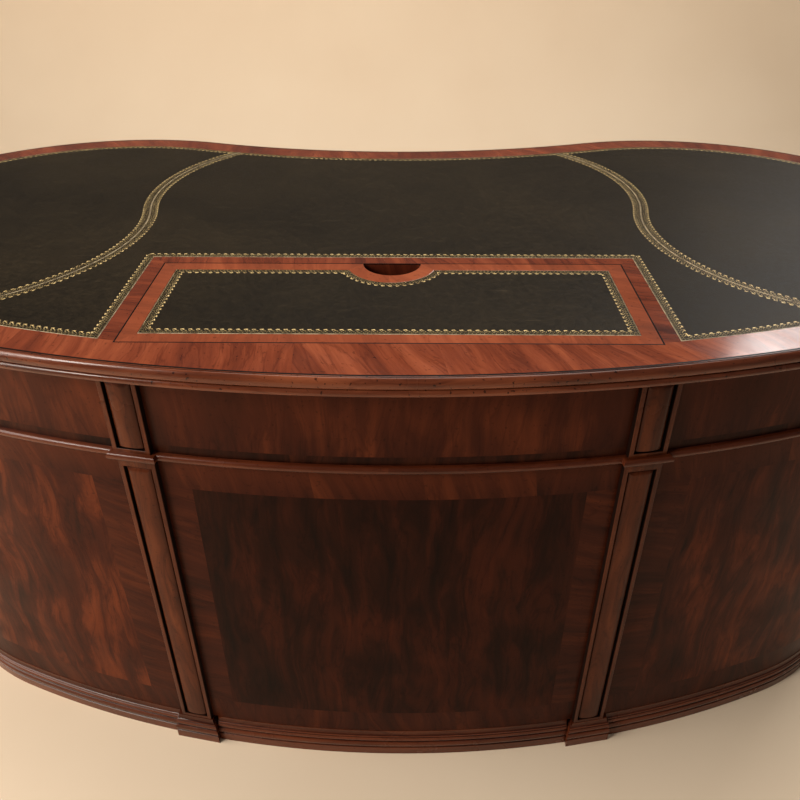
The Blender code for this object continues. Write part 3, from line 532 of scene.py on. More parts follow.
def banded_board(places, inset, low, high, band, start_band, end_band):
    """A bent board whose outer face has cross-grained bands round a figured field."""
    section = [(0.0, low), (0.0, low + band), (0.0, high - band), (0.0, high)]
    section += [(-panel_thickness, high), (-panel_thickness, low)]
    bm = carried(places, inset, section, finishes=[1, 0, 1, 0, 0, 0])
    grain = bm.loops.layers.uv.active
    ends = []
    for face in bm.faces:
        above_foot_band = face.calc_center_median().z > low + band * 0.9
        if len(face.verts) == 4 and face.material_index == 0 and above_foot_band:
            u, v = (sum(loop[grain].uv[i] for loop in face.loops) / 4 for i in (0, 1))
            if v < high - low and (u < start_band or u > end_band):
                ends.append(face)
    for face in ends:
        face.material_index = 1
    cross_grain(bm, ends)
    return bm


def run_length(places, inset):
    return sum(math.dist(spot(a, inset), spot(b, inset)) for a, b in zip(places, places[1:]))


field_x, end_field_turn = 0.2507, math.radians(13.15)
knee_field = math.asin(field_x / (bow_radius - pedestal_inset))
edge_angle = bow_pilaster - seat / 2 / bow_face
half_run = along(on_bow, 0.0, knee_field, 16) + along(on_bow, knee_field, edge_angle, 6)[1:]
middle_run = mirrored(half_run)[:-1] + half_run
start = run_length(middle_run[:7], pedestal_inset)
whole = run_length(middle_run, pedestal_inset)
bm = banded_board(middle_run, pedestal_inset, panel_foot, panel_head, band_width, start, whole - start)
finishes = [dark_field_veneer, band_veneer]
set_up(bm, "middle_panel", "carcass", ["modesty_panel"], finishes, edge=soft_arris)

start_angle = bow_pilaster + seat / 2 / bow_face
last_angle = frame_end - seat / lobe_face
inner_band = end_band_width / (lobe_radius - pedestal_inset)
end_run = along(on_bow, start_angle, end_field_turn, 6) + along(on_bow, end_field_turn, bow_turn, 12)[1:]
end_run += along(on_lobe, bow_turn, last_angle - inner_band, 60)[1:]
end_run += along(on_lobe, last_angle - inner_band, last_angle, 4)[1:]
start = run_length(end_run[:7], pedestal_inset)
whole = run_length(end_run, pedestal_inset)
finishes = [flame_veneer, band_veneer]
for side, run, bands in (
    ("right", end_run, (start, whole - end_band_width)),
    ("left", mirrored(end_run), (end_band_width, whole - start)),
):
    bm = banded_board(run, pedestal_inset, panel_foot, panel_head, band_width, *bands)
    nodes = [f"pedestal_shell_{side}"]
    set_up(bm, f"pedestal_panel_{side}", "carcass", nodes, finishes, edge=soft_arris)


def dress(node, finish):
    """A CAD node whose shape is right gets its finish."""
    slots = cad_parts[node].data.materials
    slots.clear()
    slots.append(finish)


inside_board = mahogany(
    "upright_board_mahogany", (44, 17, 9), (70, 31, 16), (96, 47, 27), figure=0.8, solid=True, shine=0.34
)
for side in ("left", "right"):
    dress(f"pedestal_kneehole_side_{side}", inside_board)


def oak(name):
    """Waxed oak: straight fibre along Y, or along X where a board faces front or back."""
    material, tree, shader = new_finish(name)
    place = own_space(tree)
    facing = tree.nodes.new("ShaderNodeNewGeometry").outputs["True Normal"]
    split = tree.nodes.new("ShaderNodeSeparateXYZ")
    tree.links.new(facing, split.inputs["Vector"])
    frontal = sum_up(tree, "GREATER_THAN", sum_up(tree, "ABSOLUTE", split.outputs["Y"], 0.0), 0.7)
    lengthways = mapped(tree, place, (1.0, 1.0, 1.0))
    crossways = mapped(tree, place, (1.0, 1.0, 1.0), quarter)
    pick = tree.nodes.new("ShaderNodeMix")
    pick.data_type = "VECTOR"
    tree.links.new(frontal, pick.inputs["Factor"])
    tree.links.new(lengthways, pick.inputs[4])
    tree.links.new(crossways, pick.inputs[5])
    fibre = pick.outputs[1]
    lines = noise(tree, mapped(tree, fibre, (150.0, 6.0, 150.0)), detail=5.0, rough=0.6)
    broad = noise(tree, mapped(tree, fibre, (22.0, 2.0, 22.0)), detail=2.0, warp=0.8)
    tone = weighed(tree, lines, 0.6, broad, 0.4)
    stops = (0.0, seen(126, 88, 52)), (0.5, seen(166, 124, 80)), (1.0, seen(190, 150, 104))
    body = ramp(tree, spread(tree, tone, 0.36, 0.64), *stops)
    flecks = noise(tree, mapped(tree, fibre, (900.0, 40.0, 900.0)), detail=2.0)
    body = blended(tree, "MULTIPLY", spread(tree, flecks, 0.58, 0.70, 0.0, 0.6), body, (0.5, 0.4, 0.3, 1.0))
    tree.links.new(body, shader.inputs["Base Color"])
    roughened(tree, shader, broad, 0.48, 0.62)
    bumps(tree, shader, sum_up(tree, "SUBTRACT", lines, flecks), 0.0003, 0.4)
    return material


lining_oak = oak("waxed_oak")
for side in ("left", "right"):
    for node in ("pedestal_bottom", "pedestal_runner_wall"):
        dress(f"{node}_{side}", lining_oak)


# The sitter's face frames
# Stiles and rails of mahogany, bent to the outline and veneered across the grain, with an
# opening cut for each drawer.

frame_wood = mahogany(
    "frame_mahogany", (42, 16, 9), (72, 32, 17), (100, 50, 28), figure=0.9, leaf=0.17, shine=0.3
)


def open_up(bm, x_span, z_span):
    """Cuts an opening for a drawer straight through a bent board and lines it with walls."""
    middle = [sum(x_span) / 2, sum(z_span) / 2]
    for x in x_span:
        part = [*bm.verts, *bm.edges, *bm.faces]
        bmesh.ops.bisect_plane(bm, geom=part, plane_co=(x, 0, 0), plane_no=(1, 0, 0), dist=1e-7)
    for z in z_span:
        part = [*bm.verts, *bm.edges, *bm.faces]
        bmesh.ops.bisect_plane(bm, geom=part, plane_co=(0, 0, z), plane_no=(0, 0, 1), dist=1e-7)
    half_x, half_z = abs(x_span[1] - x_span[0]) / 2, (z_span[1] - z_span[0]) / 2
    cut = []
    for face in bm.faces:
        centre = face.calc_center_median()
        inside = abs(centre.x - middle[0]) < half_x and abs(centre.z - middle[1]) < half_z
        if inside and abs(face.normal.z) < 0.5:
            cut.append(face)
    bmesh.ops.delete(bm, geom=cut, context="FACES")
    bmesh.ops.delete(bm, geom=[e for e in bm.edges if not e.link_faces], context="EDGES")
    rim = {v for e in bm.edges if len(e.link_faces) == 1 for v in e.verts}
    for x in x_span:
        for z in z_span:
            bm.edges.new([v for v in rim if abs(v.co.x - x) < 1e-6 and abs(v.co.z - z) < 1e-6])
    walls = []
    for axis, span in ((0, x_span), (2, z_span)):
        for at in span:
            bare = [e for e in bm.edges if len(e.link_faces) < 2]
            side = [e for e in bare if all(abs(v.co[axis] - at) < 1e-6 for v in e.verts)]
            walls += bmesh.ops.edgeloop_fill(bm, edges=side)["faces"]
    bmesh.ops.recalc_face_normals(bm, faces=bm.faces)
    lay_flat(bm, walls)


def plain_board(places, inset, low, high):
    section = [(0.0, low), (0.0, high), (-panel_thickness, high), (-panel_thickness, low)]
    return carried(places, inset, section)


drawer_openings = {"upper": (0.39930, 0.55900), "file": (0.07630, 0.38430)}
frame_run = along(on_lobe, frame_end, math.pi + hollow_turn, 22)
frame_run += along(on_hollow, hollow_turn, math.asin(knee_x / (hollow_radius + pedestal_inset)), 14)[1:]
for side, sign in (("right", 1), ("left", -1)):
    run = frame_run if sign > 0 else mirrored(frame_run)
    bm = plain_board(run, pedestal_inset, panel_foot, panel_head)
    for opening in drawer_openings.values():
        open_up(bm, sorted((sign * stile_x, sign * drawer_edge_x)), opening)
    nodes = [f"pedestal_face_frame_{side}"]
    set_up(bm, f"pedestal_frame_{side}", "carcass", nodes, [frame_wood], edge=soft_arris)


# The pilasters
# Strips of solid mahogany with a raised frame round a sunk ground, and on the ground a soft
# pillow whose top is rounded back. They are glued to the face, where panels and frames meet.

pilaster_wood = mahogany(
    "pilaster_mahogany", (48, 18, 7), (84, 38, 17), (114, 58, 29), figure=0.7, polish=0.16
)
# Near-black finish for the pilaster's sides and for the walls and floor of the gap round the pillow: painted
# shade.
pilaster_shade = mahogany(
    "pilaster_gap_shade", (14, 6, 4), (24, 10, 6), (36, 16, 10), figure=0.7, shine=0.45, polish=0.15
)
pillow_half, pillow_foot, pillow_wall, pillow_crown, fan = 0.0160, 0.0018, 0.0044, 0.0077, 0.0130


def pillow(bm, low, high):
    """A long board with a rounded face, whose top end is rounded back to a fan."""
    buried = 0.0012
    section = [(pillow_half, -buried)]
    section += rounded((0.0, -pillow_wall), (pillow_half, pillow_crown - pillow_wall), 0.0, -math.pi, 14)
    section += [(-pillow_half, -buried)]
    face = bm.faces.new([bm.verts.new((x, y, low)) for x, y in section])
    raised(bm, [face, *face.edges], high - low)
    fall = pillow_crown - pillow_foot
    for lean in (math.radians(25), math.radians(50), math.radians(74)):
        slope = Vector((0, -fan * math.cos(lean), fall * math.sin(lean))).normalized()
        at = (0, -pillow_foot - fall * math.cos(lean), high - fan + fan * math.sin(lean))
        everything = [*bm.verts, *bm.edges, *bm.faces]
        cut = bmesh.ops.bisect_plane(bm, geom=everything, plane_co=at, plane_no=slope, clear_outer=True)
        rim = [e for e in cut["geom_cut"] if isinstance(e, bmesh.types.BMEdge)]
        bmesh.ops.holes_fill(bm, edges=rim, sides=0)
    bmesh.ops.recalc_face_normals(bm, faces=bm.faces)


def slice_faces(bm, faces, at, normal):
    """Scores a line across some faces."""
    parts = {*faces, *(e for f in faces for e in f.edges), *(v for f in faces for v in f.verts)}
    bmesh.ops.bisect_plane(bm, geom=[*parts], plane_co=at, plane_no=normal, dist=1e-7)


def pilaster(name, x, y, turn, low, high, frame_foot, frame_head, nodes=()):
    bm = bmesh.new()
    bm.loops.layers.uv.new("grain")
    crest = bm.verts.layers.float.new("crest")
    strip_width, shade_gap, wall_width, sunk, depth = 0.0062, 0.0022, 0.0002, 0.0012, 0.0058
    pillow(bm, frame_foot + strip_width + 0.0014, frame_head - strip_width - 0.0010)
    cushion = set(bm.faces)
    block = bmesh.ops.create_cube(bm, size=1.0)["verts"]
    bmesh.ops.scale(bm, vec=(2 * half_pilaster, pilaster_rise + sunk, high - low), verts=block)
    bmesh.ops.translate(bm, vec=(0, (sunk - pilaster_rise) / 2, (low + high) / 2), verts=block)

    def own():
        return [f for f in bm.faces if f not in cushion]

    bm.normal_update()
    front = min(own(), key=lambda face: face.calc_center_median().y)
    # The sides take the near-black finish as painted shade.
    for side_wall in (f for f in own() if abs(f.normal.x) > 0.9):
        side_wall.material_index = 1
    bmesh.ops.bevel(
        bm, geom=[*front.edges], offset=0.0010, segments=3, profile=0.5, affect="EDGES", material=-1,
        clamp_overlap=True,
    )
    for z in (frame_foot, frame_head):
        slice_faces(bm, own(), (0, 0, z), (0, 0, 1))
    middle = Vector((0, -pilaster_rise, (frame_foot + frame_head) / 2))
    front = min(own(), key=lambda face: (face.calc_center_median() - middle).length)
    steps = ((strip_width - 0.0016, 0.0), (0.0004, -0.0003), (wall_width, -depth), (shade_gap, 0.0))
    # The wall and the floor of the gap round the pillow take the near-black finish: painted shade.
    for width, rise in steps:
        ring = ring_in(bm, [front], width, rise)
        if width in (shade_gap, wall_width):
            for face in ring:
                face.material_index = 1
    # Verts on the gap's floor get crest -1, which darkens them nearly to black: painted shade.
    for vert in bm.verts:
        if abs(vert.co.y + pilaster_rise - depth - 0.0003) < 1e-4:
            vert[crest] = -1.0
    lay_flat(bm, [face for face in bm.faces if face.material_index == 0])
    bmesh.ops.rotate(bm, matrix=Matrix.Rotation(turn, 3, "Z"), verts=bm.verts)
    bmesh.ops.translate(bm, vec=(x, y, 0), verts=bm.verts)
    set_up(bm, name, "carcass", nodes, [pilaster_wood, pilaster_shade], sharp=28)


for tier, inset, low, high, foot_space, head_space in (
    ("pedestal", pedestal_inset, panel_foot, panel_head, 0.0005, 0.0090),
    ("frieze", frieze_inset, frieze_foot, frieze_top - seat, 0.0118, 0.0125),
):
    heights = low, high, low + foot_space, high - head_space
    for side, sign in (("right", 1), ("left", -1)):
        x, y = on_bow(bow_pilaster, inset)
        nodes = [f"{tier}_pilaster_{side}"]
        pilaster(f"{tier}_front_pilaster_{side}", sign * x, y, sign * bow_pilaster, *heights, nodes)
        x, y = on_lobe(lobe_pilaster, inset)
        pilaster(f"{tier}_end_pilaster_{side}", sign * x, y, sign * lobe_pilaster, *heights)
        x, y = back_at(pilaster_x, inset)
        lean = math.asin(pilaster_x / (hollow_radius + inset))
        pilaster(f"{tier}_knee_pilaster_{side}", sign * x, y, math.pi + sign * lean, *heights)


# The frieze
# Bent boards veneered like the pedestals, with a cross-grained strip along the foot; on the
# sitter's side a frame for three drawers. A half-round bead runs round the foot.

frieze_veneer = mahogany(
    "frieze_veneer", (24, 8, 4), (56, 21, 10), (92, 42, 21), flame=0.6, shine=0.34, polish=0.09
)
foot_strip_veneer = mahogany(
    "foot_strip_veneer", (24, 8, 4), (44, 17, 8), (66, 29, 14), figure=0.8, leaf=0.2, shine=0.36,
    polish=0.08,
)
strip = 0.024


def frieze_board(places):
    low, high = frieze_foot, frieze_top - seat
    section = [(0.0, low), (0.0, low + strip), (0.0, high)]
    section += [(-panel_thickness, high), (-panel_thickness, low)]
    return carried(places, frieze_inset, section, finishes=[1, 0, 0, 0, 0])


front_half = along(on_bow, 0.0, edge_angle, 22)
side_run = along(on_bow, start_angle, bow_turn, 16) + along(on_lobe, bow_turn, last_angle, 64)[1:]
for name, run in (
    ("frieze_front", mirrored(front_half)[:-1] + front_half),
    ("frieze_end_right", side_run),
    ("frieze_end_left", mirrored(side_run)),
):
    bm = frieze_board(run)
    finishes = [frieze_veneer, foot_strip_veneer]
    set_up(bm, f"{name}_board", "carcass", [name], finishes, edge=soft_arris)

half_frame = along(on_lobe, frame_end, math.pi + hollow_turn, 22)
half_frame += along(on_hollow, hollow_turn, 0.0, 30)[1:]
bm = plain_board(half_frame + mirrored(half_frame[:-1]), frieze_inset, frieze_foot, frieze_top - seat)
foot_rail, head_rail = 0.024, 0.013
frieze_opening = (frieze_foot + foot_rail, frieze_top - head_rail)
for x_span in ((-drawer_edge_x, -stile_x), (-knee_x, knee_x), (stile_x, drawer_edge_x)):
    open_up(bm, x_span, frieze_opening)
set_up(bm, "frieze_frame", "carcass", ["frieze_face_frame"], [frame_wood], edge=soft_arris)

for node in ("frieze_dust_board", "frieze_divider_left", "frieze_divider_right"):
    dress(node, lining_oak)

half_bead_height = 0.0055
bead_middle = frieze_foot + 0.001 + half_bead_height
bead_section = [(seat, bead_middle + half_bead_height), (seat, bead_middle - half_bead_height)]
bead_section += rounded((seat + 0.0022, bead_middle), (0.0048, 0.0053), -quarter, quarter, 10)
half_bead = along(on_bow, 0.0, bow_pilaster - bow_half, 20)[:-1]
half_bead += break_round(on_bow, bow_pilaster, bow_half, bow_face, pilaster_rise)
half_bead += bow_side + lobe_side + lobe_break + back_side
half_bead += break_round(back_at, pilaster_x, half_pilaster, 1.0, pilaster_rise, way=-1)
hollow_pilaster_start = math.asin((pilaster_x - half_pilaster) / (hollow_radius + frieze_inset))
half_bead += along(on_hollow, hollow_pilaster_start, 0.0, 20)[1:]
bm = carried(half_bead + mirrored(half_bead[1:-1]), frieze_inset, bead_section, closed=True)
set_up(bm, "frieze_foot_bead", "carcass", ["frieze_bead"], [moulding_wood])


# The top
# A board edged with a moulding of solid mahogany: a bead, a groove and a rounded member. It is
# veneered round its edge with mahogany laid across, and sunk for the leather and the flap.

leather_inset, string_width = 0.052, 0.0027
frame_x, frame_far_y = 0.335, -0.141925
flap_x, flap_near_y, flap_far_y = 0.315, -0.386625, -0.161925
pocket_depth = 0.0018

crossband = mahogany(
    "top_crossband", (68, 24, 11), (117, 52, 28), (158, 82, 49), figure=0.8, flame=0.4, leaf=0.17,
    slant=0.6, shine=0.16, polish=0.5,
)
ledge_wood = mahogany(
    "opening_mahogany", (60, 22, 12), (92, 38, 21), (120, 56, 33), figure=0.8, solid=True, shine=0.36
)


def near_black_finish(name):
    """Ebonised stringing: almost black, with a little of the grain and the polish. On the edges of the flap
    and of its bed the same finish is painted shade of the gap between them.
    """
    material, tree, shader = new_finish(name)
    place = own_space(tree)
    grain_tone = noise(tree, mapped(tree, place, (260.0, 260.0, 260.0)), detail=3.0)
    body = ramp(tree, grain_tone, (0.3, seen(9, 6, 5)), (0.7, seen(24, 14, 10)))
    tree.links.new(body, shader.inputs["Base Color"])
    roughened(tree, shader, grain_tone, 0.3, 0.5)
    shader.inputs["Specular IOR Level"].default_value = 0.12
    return material


string_and_gap_shade = near_black_finish("ebonised_string_and_gap_shade")

rim_half = along(on_bow, 0.0, bow_turn, 36)
rim_half += along(on_lobe, bow_turn, math.pi + hollow_turn, 90)[1:]
rim_half += along(on_hollow, hollow_turn, 0.0, 30)[1:]
rim_round = mirrored(rim_half)[:-1] + rim_half[:-1]

bead_z, thumb_z = frieze_top + 0.0032, frieze_top + 0.0144
edging = [(-0.0060, desk_height), (-0.0060, frieze_top)]
edging += rounded((-0.0024, bead_z), (0.0021, 0.0032), -quarter, -quarter / 3, 2)
edging += rounded((-0.0034, bead_z), (0.0031, 0.0050), 0.0, quarter, 7)
edging += [(-0.0042, frieze_top + 0.0084), (-0.0042, frieze_top + 0.0094), (-0.0026, frieze_top + 0.0094)]
edging += rounded((-0.0026, thumb_z), (0.0026, 0.0050), -quarter * 3 / 4, -quarter / 4, 2)
edging += rounded((-0.0052, thumb_z), (0.0052, 0.0089), 0.0, quarter, 10)
edging += [(-0.0052, desk_height - 0.0001)]
edging_wood = mahogany(
    "edging_mahogany", (54, 22, 12), (98, 48, 28), (130, 70, 43), figure=0.9, turned=True, shine=0.2,
    polish=0.36, knocks=0.85,
)
bm = carried(rim_round, 0.0, edging, closed=True)
set_up(bm, "top_edge_mouldings", "carcass", ["top_edge_moulding"], [edging_wood])

board_edge = 0.0063
border = leather_inset - board_edge
section = [(-border, frieze_top), (0.0, frieze_top), (0.0, desk_height), (-string_width, desk_height)]
section += [(-border, desk_height)]
bm = carried(rim_round, board_edge, section, closed=True, open_section=True, finishes=[2, 2, 1, 0])
grain = bm.loops.layers.uv.active
front_run = run_length(rim_half, board_edge)
border_v = border + edging_height - board_edge
bmesh.ops.holes_fill(bm, edges=[e for e in bm.edges if e.is_boundary], sides=0)
bmesh.ops.recalc_face_normals(bm, faces=bm.faces)


def level_at(bm, z):
    return [f for f in bm.faces if all(abs(v.co.z - z) < 1e-5 for v in f.verts)]


def score(bm, wanted, xs=(), ys=()):
    for x in xs:
        slice_faces(bm, wanted(), (x, 0, 0), (1, 0, 0))
    for y in ys:
        slice_faces(bm, wanted(), (0, y, 0), (0, 1, 0))


strip_x, strip_front, strip_back = 0.36, -0.42, -0.37


def round_flap():
    """The faces of the board's top that the flap's opening and its surround may cut."""
    found = []
    for face in level_at(bm, desk_height):
        x, y, _ = face.calc_center_median()
        before_flap = abs(x) < strip_x and strip_front < y < strip_back
        if face.material_index == 3 or (face.material_index == 0 and before_flap):
            found.append(face)
    return found


def near_strip():
    """The faces of the board's top between the flap and the near moulding."""
    found = []
    for face in round_flap():
        x, y, _ = face.calc_center_median()
        if y < flap_near_y and abs(x) < flap_x:
            found.append(face)
    return found


field = max(level_at(bm, desk_height), key=lambda face: len(face.verts))
field.material_index = 3
score(bm, round_flap, (-frame_x, -flap_x, flap_x, frame_x), (frame_far_y, flap_far_y, flap_near_y))
score(bm, near_strip, (-0.28, -0.20, -0.10, 0.0, 0.10, 0.20, 0.28))
for sign in (-1, 1):
    corner = []
    for face in round_flap():
        x, y, _ = face.calc_center_median()
        if flap_x < sign * x < frame_x and flap_far_y < y < frame_far_y:
            corner.append(face)
    slice_faces(bm, corner, (sign * flap_x, flap_far_y, 0), (-sign, 1, 0))

leather_field, bed = [], []
for face in level_at(bm, desk_height):
    x, y, _ = face.calc_center_median()
    if abs(x) < flap_x and flap_near_y < y < flap_far_y:
        bed.append(face)
    elif face.material_index == 3 and (abs(x) > frame_x or y > frame_far_y):
        leather_field.append(face)
    elif face.material_index == 3:
        face.material_index = 0
        for loop in face.loops:
            px, py, _ = loop.vert.co
            if y < flap_near_y:
                turn = math.atan2(px, bow_y - py)
                inset = bow_radius - math.hypot(px, bow_y - py)
                loop[grain].uv = (front_run + (bow_radius - board_edge) * turn, border_v + inset)
            elif abs(x) - flap_x > y - flap_far_y:
                loop[grain].uv = (py, px)
            else:
                loop[grain].uv = (px, py)


def sink(bm, faces, depth, edge_finish, ring_width=0.0):
    """Sinks a level part of a board behind a slightly rounded arris, with a flat ring of ring_width round
    it; ring and arris take edge_finish, which round the flap's bed is the near-black finish, painted shade
    of the gap.
    """
    face = bmesh.ops.dissolve_faces(bm, faces=faces)["region"][0] if len(faces) > 1 else faces[0]
    bm.normal_update()
    arris = []
    for width, rise in ((ring_width, 0.0), (0.0003, -0.0003), (0.0001, -0.0011)):
        if width:
            arris += ring_in(bm, [face], width, rise)
    walls = ring_in(bm, [face], 0.00005, 0.0014 - depth)
    for ring_face in arris:
        ring_face.material_index = edge_finish
    for wall in (*walls, face):
        wall.material_index = 2


bed_depth, finger_x = 0.0143, 0.039
sink(bm, leather_field, pocket_depth, 0)
# The bed's ring and arris are near black: painted shade of the gap round the flap.
sink(bm, bed, bed_depth, 1, ring_width=0.0006)
ledge_z = desk_height - bed_depth
mouth_x, mouth_near, mouth_far = flap_x - 0.010, flap_near_y + 0.020, flap_far_y - 0.010
for z in (ledge_z, frieze_top):
    score(bm, lambda: level_at(bm, z), (-mouth_x, -finger_x, finger_x, mouth_x), (mouth_near, mouth_far))
    score(bm, lambda: level_at(bm, z) if z == frieze_top else [], (), (flap_far_y - 0.0005,))
mouth = []
for z in (ledge_z, frieze_top):
    for face in level_at(bm, z):
        x, y, _ = face.calc_center_median()
        in_mouth = abs(x) < mouth_x and mouth_near < y < mouth_far
        if in_mouth or abs(x) < finger_x and mouth_far < y < flap_far_y:
            mouth.append(face)
bmesh.ops.delete(bm, geom=mouth, context="FACES")
rims = [e for e in bm.edges if e.is_boundary]
lay_flat(bm, bmesh.ops.bridge_loops(bm, edges=rims)["faces"], 2)


def bore(bm, x, wall_y, radius, depth):
    """A round blind hole for a hinge barrel, in a wall that faces along Y."""
    z, reach = desk_height - 0.007, radius * 1.14

    def in_wall(vert):
        return abs(vert.co.y - wall_y) < 6e-4 and vert.co.z < desk_height - 2e-4

    def wall():
        return [f for f in bm.faces if all(in_wall(v) for v in f.verts)]

    for side_x in (x - reach, x + reach):
        slice_faces(bm, wall(), (side_x, 0, 0), (1, 0, 0))
    for height in (z - reach, z + reach):
        slice_faces(bm, wall(), (0, 0, height), (0, 0, 1))
    bm.normal_update()
    face = min(wall(), key=lambda f: (f.calc_center_median() - Vector((x, wall_y, z))).length)
    bmesh.ops.inset_region(bm, faces=[face], thickness=0.0001)
    bmesh.ops.bisect_edges(bm, edges=[*face.edges], cuts=3)
    middle = face.calc_center_median()
    for vert in face.verts:
        spoke = vert.co - middle
        vert.co = middle + spoke.normalized() * radius
    bm.normal_update()
    bmesh.ops.inset_region(bm, faces=[face], thickness=0.0001, depth=-depth)
    face.material_index = 2


barrel_x, bore_radius, bore_depth = 2 * flap_x * 0.38, 0.0053, 0.0136
for sign in (-1, 1):
    bore(bm, sign * barrel_x, flap_near_y + 0.0005, bore_radius, bore_depth)
finishes = [crossband, string_and_gap_shade, ledge_wood, ledge_wood]
set_up(bm, "top_board_veneered", "carcass", ["top_board"], finishes)
dress("compartment_well", ledge_wood)


# The leather
# Three black hides, dyed and waxed, skived thin and glued in the sunk field. Each is tooled
# along its edges in gold: a narrow hatched ribbon, then a row of small scrolled leaves.

leather_top, leather_foot = desk_height, desk_height - 0.0015
seam = seat / 2
band_x_back, band_x_front = 2 * rim_x * 0.1676, 2 * rim_x * 0.3117
bulge = Vector((2 * rim_x * 0.2203, 2 * rim_y * 0.1402))
band_turn = math.radians(14.3)
back_end = Vector(back_at(band_x_back, leather_inset))
front_end = Vector(front_at(band_x_front, leather_inset))
reach = bulge - back_end
back_bend = reach.length_squared / (2 * reach.x)
back_centre = bulge - Vector((back_bend, 0))
turn_normal = Vector((math.cos(band_turn), -math.sin(band_turn)))
turn_point = back_centre + turn_normal * back_bend
chord = front_end - turn_point
front_bend = chord.length_squared / (2 * chord.dot(turn_normal))
front_centre = turn_point + turn_normal * front_bend
first_turn = math.atan2(back_end.y - back_centre.y, back_end.x - back_centre.x)
last_turn = math.atan2(front_end.y - front_centre.y, front_end.x - front_centre.x) % (2 * math.pi)
seam_line = rounded(back_centre, (back_bend, back_bend), first_turn, -band_turn, 26)
seam_line += rounded(front_centre, (front_bend, front_bend), math.pi - band_turn, last_turn, 30)[1:]

skin_inset = leather_inset + seat


def flipped(points):
    return [(-x, y) for x, y in reversed(points)]


def rim_points(places):
    return [spot(place, skin_inset) for place in places]


front_turn = math.asin((band_x_front + seam) / (bow_radius - skin_inset))
back_turn = math.asin((band_x_back + seam) / (hollow_radius + skin_inset))
right_skin = rim_points(along(on_bow, front_turn, bow_turn, 6))
right_skin += rim_points(along(on_lobe, bow_turn, math.pi + hollow_turn, 90)[1:])
right_skin += rim_points(along(on_hollow, hollow_turn, back_turn, 6)[1:])
right_skin += [(x + seam, y) for x, y in seam_line[1:-1]]

front_turn = math.asin((band_x_front - seam) / (bow_radius - skin_inset))
back_turn = math.asin((band_x_back - seam) / (hollow_radius + skin_inset))
surround_turn = math.asin((frame_x + seat) / (bow_radius - skin_inset))
centre_half = rim_points(along(on_bow, surround_turn, front_turn, 12))
centre_half += [(x - seam, y) for x, y in seam_line[-2:0:-1]]
centre_half += rim_points(along(on_hollow, back_turn, 0.0, 26))
centre_skin = centre_half + flipped(centre_half)[1:]
centre_skin += [(-frame_x - seat, frame_far_y + seat), (frame_x + seat, frame_far_y + seat)]


def hide(name):
    """Black hide with a green-brown cast: clouded dye, a fine pebble, scuffs and a wax polish."""
    material, tree, shader = new_finish(name)
    place = own_space(tree)
    clouds = noise(tree, mapped(tree, place, (4.0, 4.0, 4.0)), detail=4.0, warp=0.6)
    mottle = noise(tree, mapped(tree, place, (150.0, 150.0, 150.0)), detail=5.0, rough=0.65)
    tone = weighed(tree, clouds, 0.4, mottle, 0.6)
    stops = (0.0, seen(17, 13, 8)), (0.5, seen(30, 24, 15)), (1.0, seen(42, 34, 22))
    body = ramp(tree, spread(tree, tone, 0.34, 0.66), *stops)
    scuffs = noise(tree, mapped(tree, place, (16.0, 90.0, 16.0), 0.5), detail=6.0, rough=0.7)
    scuffed = spread(tree, scuffs, 0.62, 0.74, 0.0, 0.5)
    body = blended(tree, "MIX", scuffed, body, seen(70, 60, 45))
    tree.links.new(body, shader.inputs["Base Color"])
    sheen = spread(tree, mottle, 0.3, 0.7, 0.36, 0.48)
    dulled = sum_up(tree, "ADD", sheen, sum_up(tree, "MULTIPLY", scuffed, 0.2))
    tree.links.new(dulled, shader.inputs["Roughness"])
    shader.inputs["Specular IOR Level"].default_value = 0.1
    pebble = tree.nodes.new("ShaderNodeTexVoronoi")
    pebble.feature = "DISTANCE_TO_EDGE"
    pebble.inputs["Scale"].default_value = 850.0
    tree.links.new(place, pebble.inputs["Vector"])
    creases = spread(tree, pebble.outputs["Distance"], 0.0, 0.25)
    bumps(tree, shader, sum_up(tree, "ADD", creases, sum_up(tree, "MULTIPLY", mottle, 1.5)), 0.00012, 0.6)
    return material


def gold_leaf(name):
    """Gold leaf pressed into leather: bright where it holds, brown where it has rubbed away."""
    material, tree, shader = new_finish(name)
    place = own_space(tree)
    patches = noise(tree, mapped(tree, place, (130.0, 130.0, 130.0)), detail=4.0, rough=0.7)
    kept = spread(tree, patches, 0.36, 0.50)
    fine = noise(tree, mapped(tree, place, (700.0, 700.0, 700.0)), detail=3.0)
    gold = ramp(tree, fine, (0.3, seen(222, 182, 108)), (0.7, seen(255, 232, 172)))
    tree.links.new(blended(tree, "MIX", kept, seen(120, 92, 50), gold), shader.inputs["Base Color"])
    tree.links.new(sum_up(tree, "MULTIPLY", kept, 0.2), shader.inputs["Metallic"])
    roughened(tree, shader, fine, 0.30, 0.46)
    bumps(tree, shader, fine, 0.00005, 0.5)
    return material


def pale_edge(name):
    """The hide's rounded edge, painted pale as a highlight where it turns down to the wood."""
    material, tree, shader = new_finish(name)
    place = own_space(tree)
    edge_mottle = noise(tree, mapped(tree, place, (90.0, 90.0, 90.0)), detail=4.0, rough=0.7)
    body = ramp(tree, edge_mottle, (0.36, seen(92, 76, 56)), (0.56, seen(176, 160, 130)))
    tree.links.new(body, shader.inputs["Base Color"])
    roughened(tree, shader, edge_mottle, 0.4, 0.6)
    bumps(tree, shader, edge_mottle, 0.0001, 0.5)
    return material


black_hide = hide("black_hide")
hide_edge = pale_edge("hide_edge_painted_highlight")
tooled_gold = gold_leaf("tooled_gold")


def lie_face(outline, z):
    """One level face in an outline, facing up."""
    bm = bmesh.new()
    face = bm.faces.new([bm.verts.new((x, y, z)) for x, y in outline])
    bm.normal_update()
    if face.normal.z < 0:
        face.normal_flip()
    return bm, face


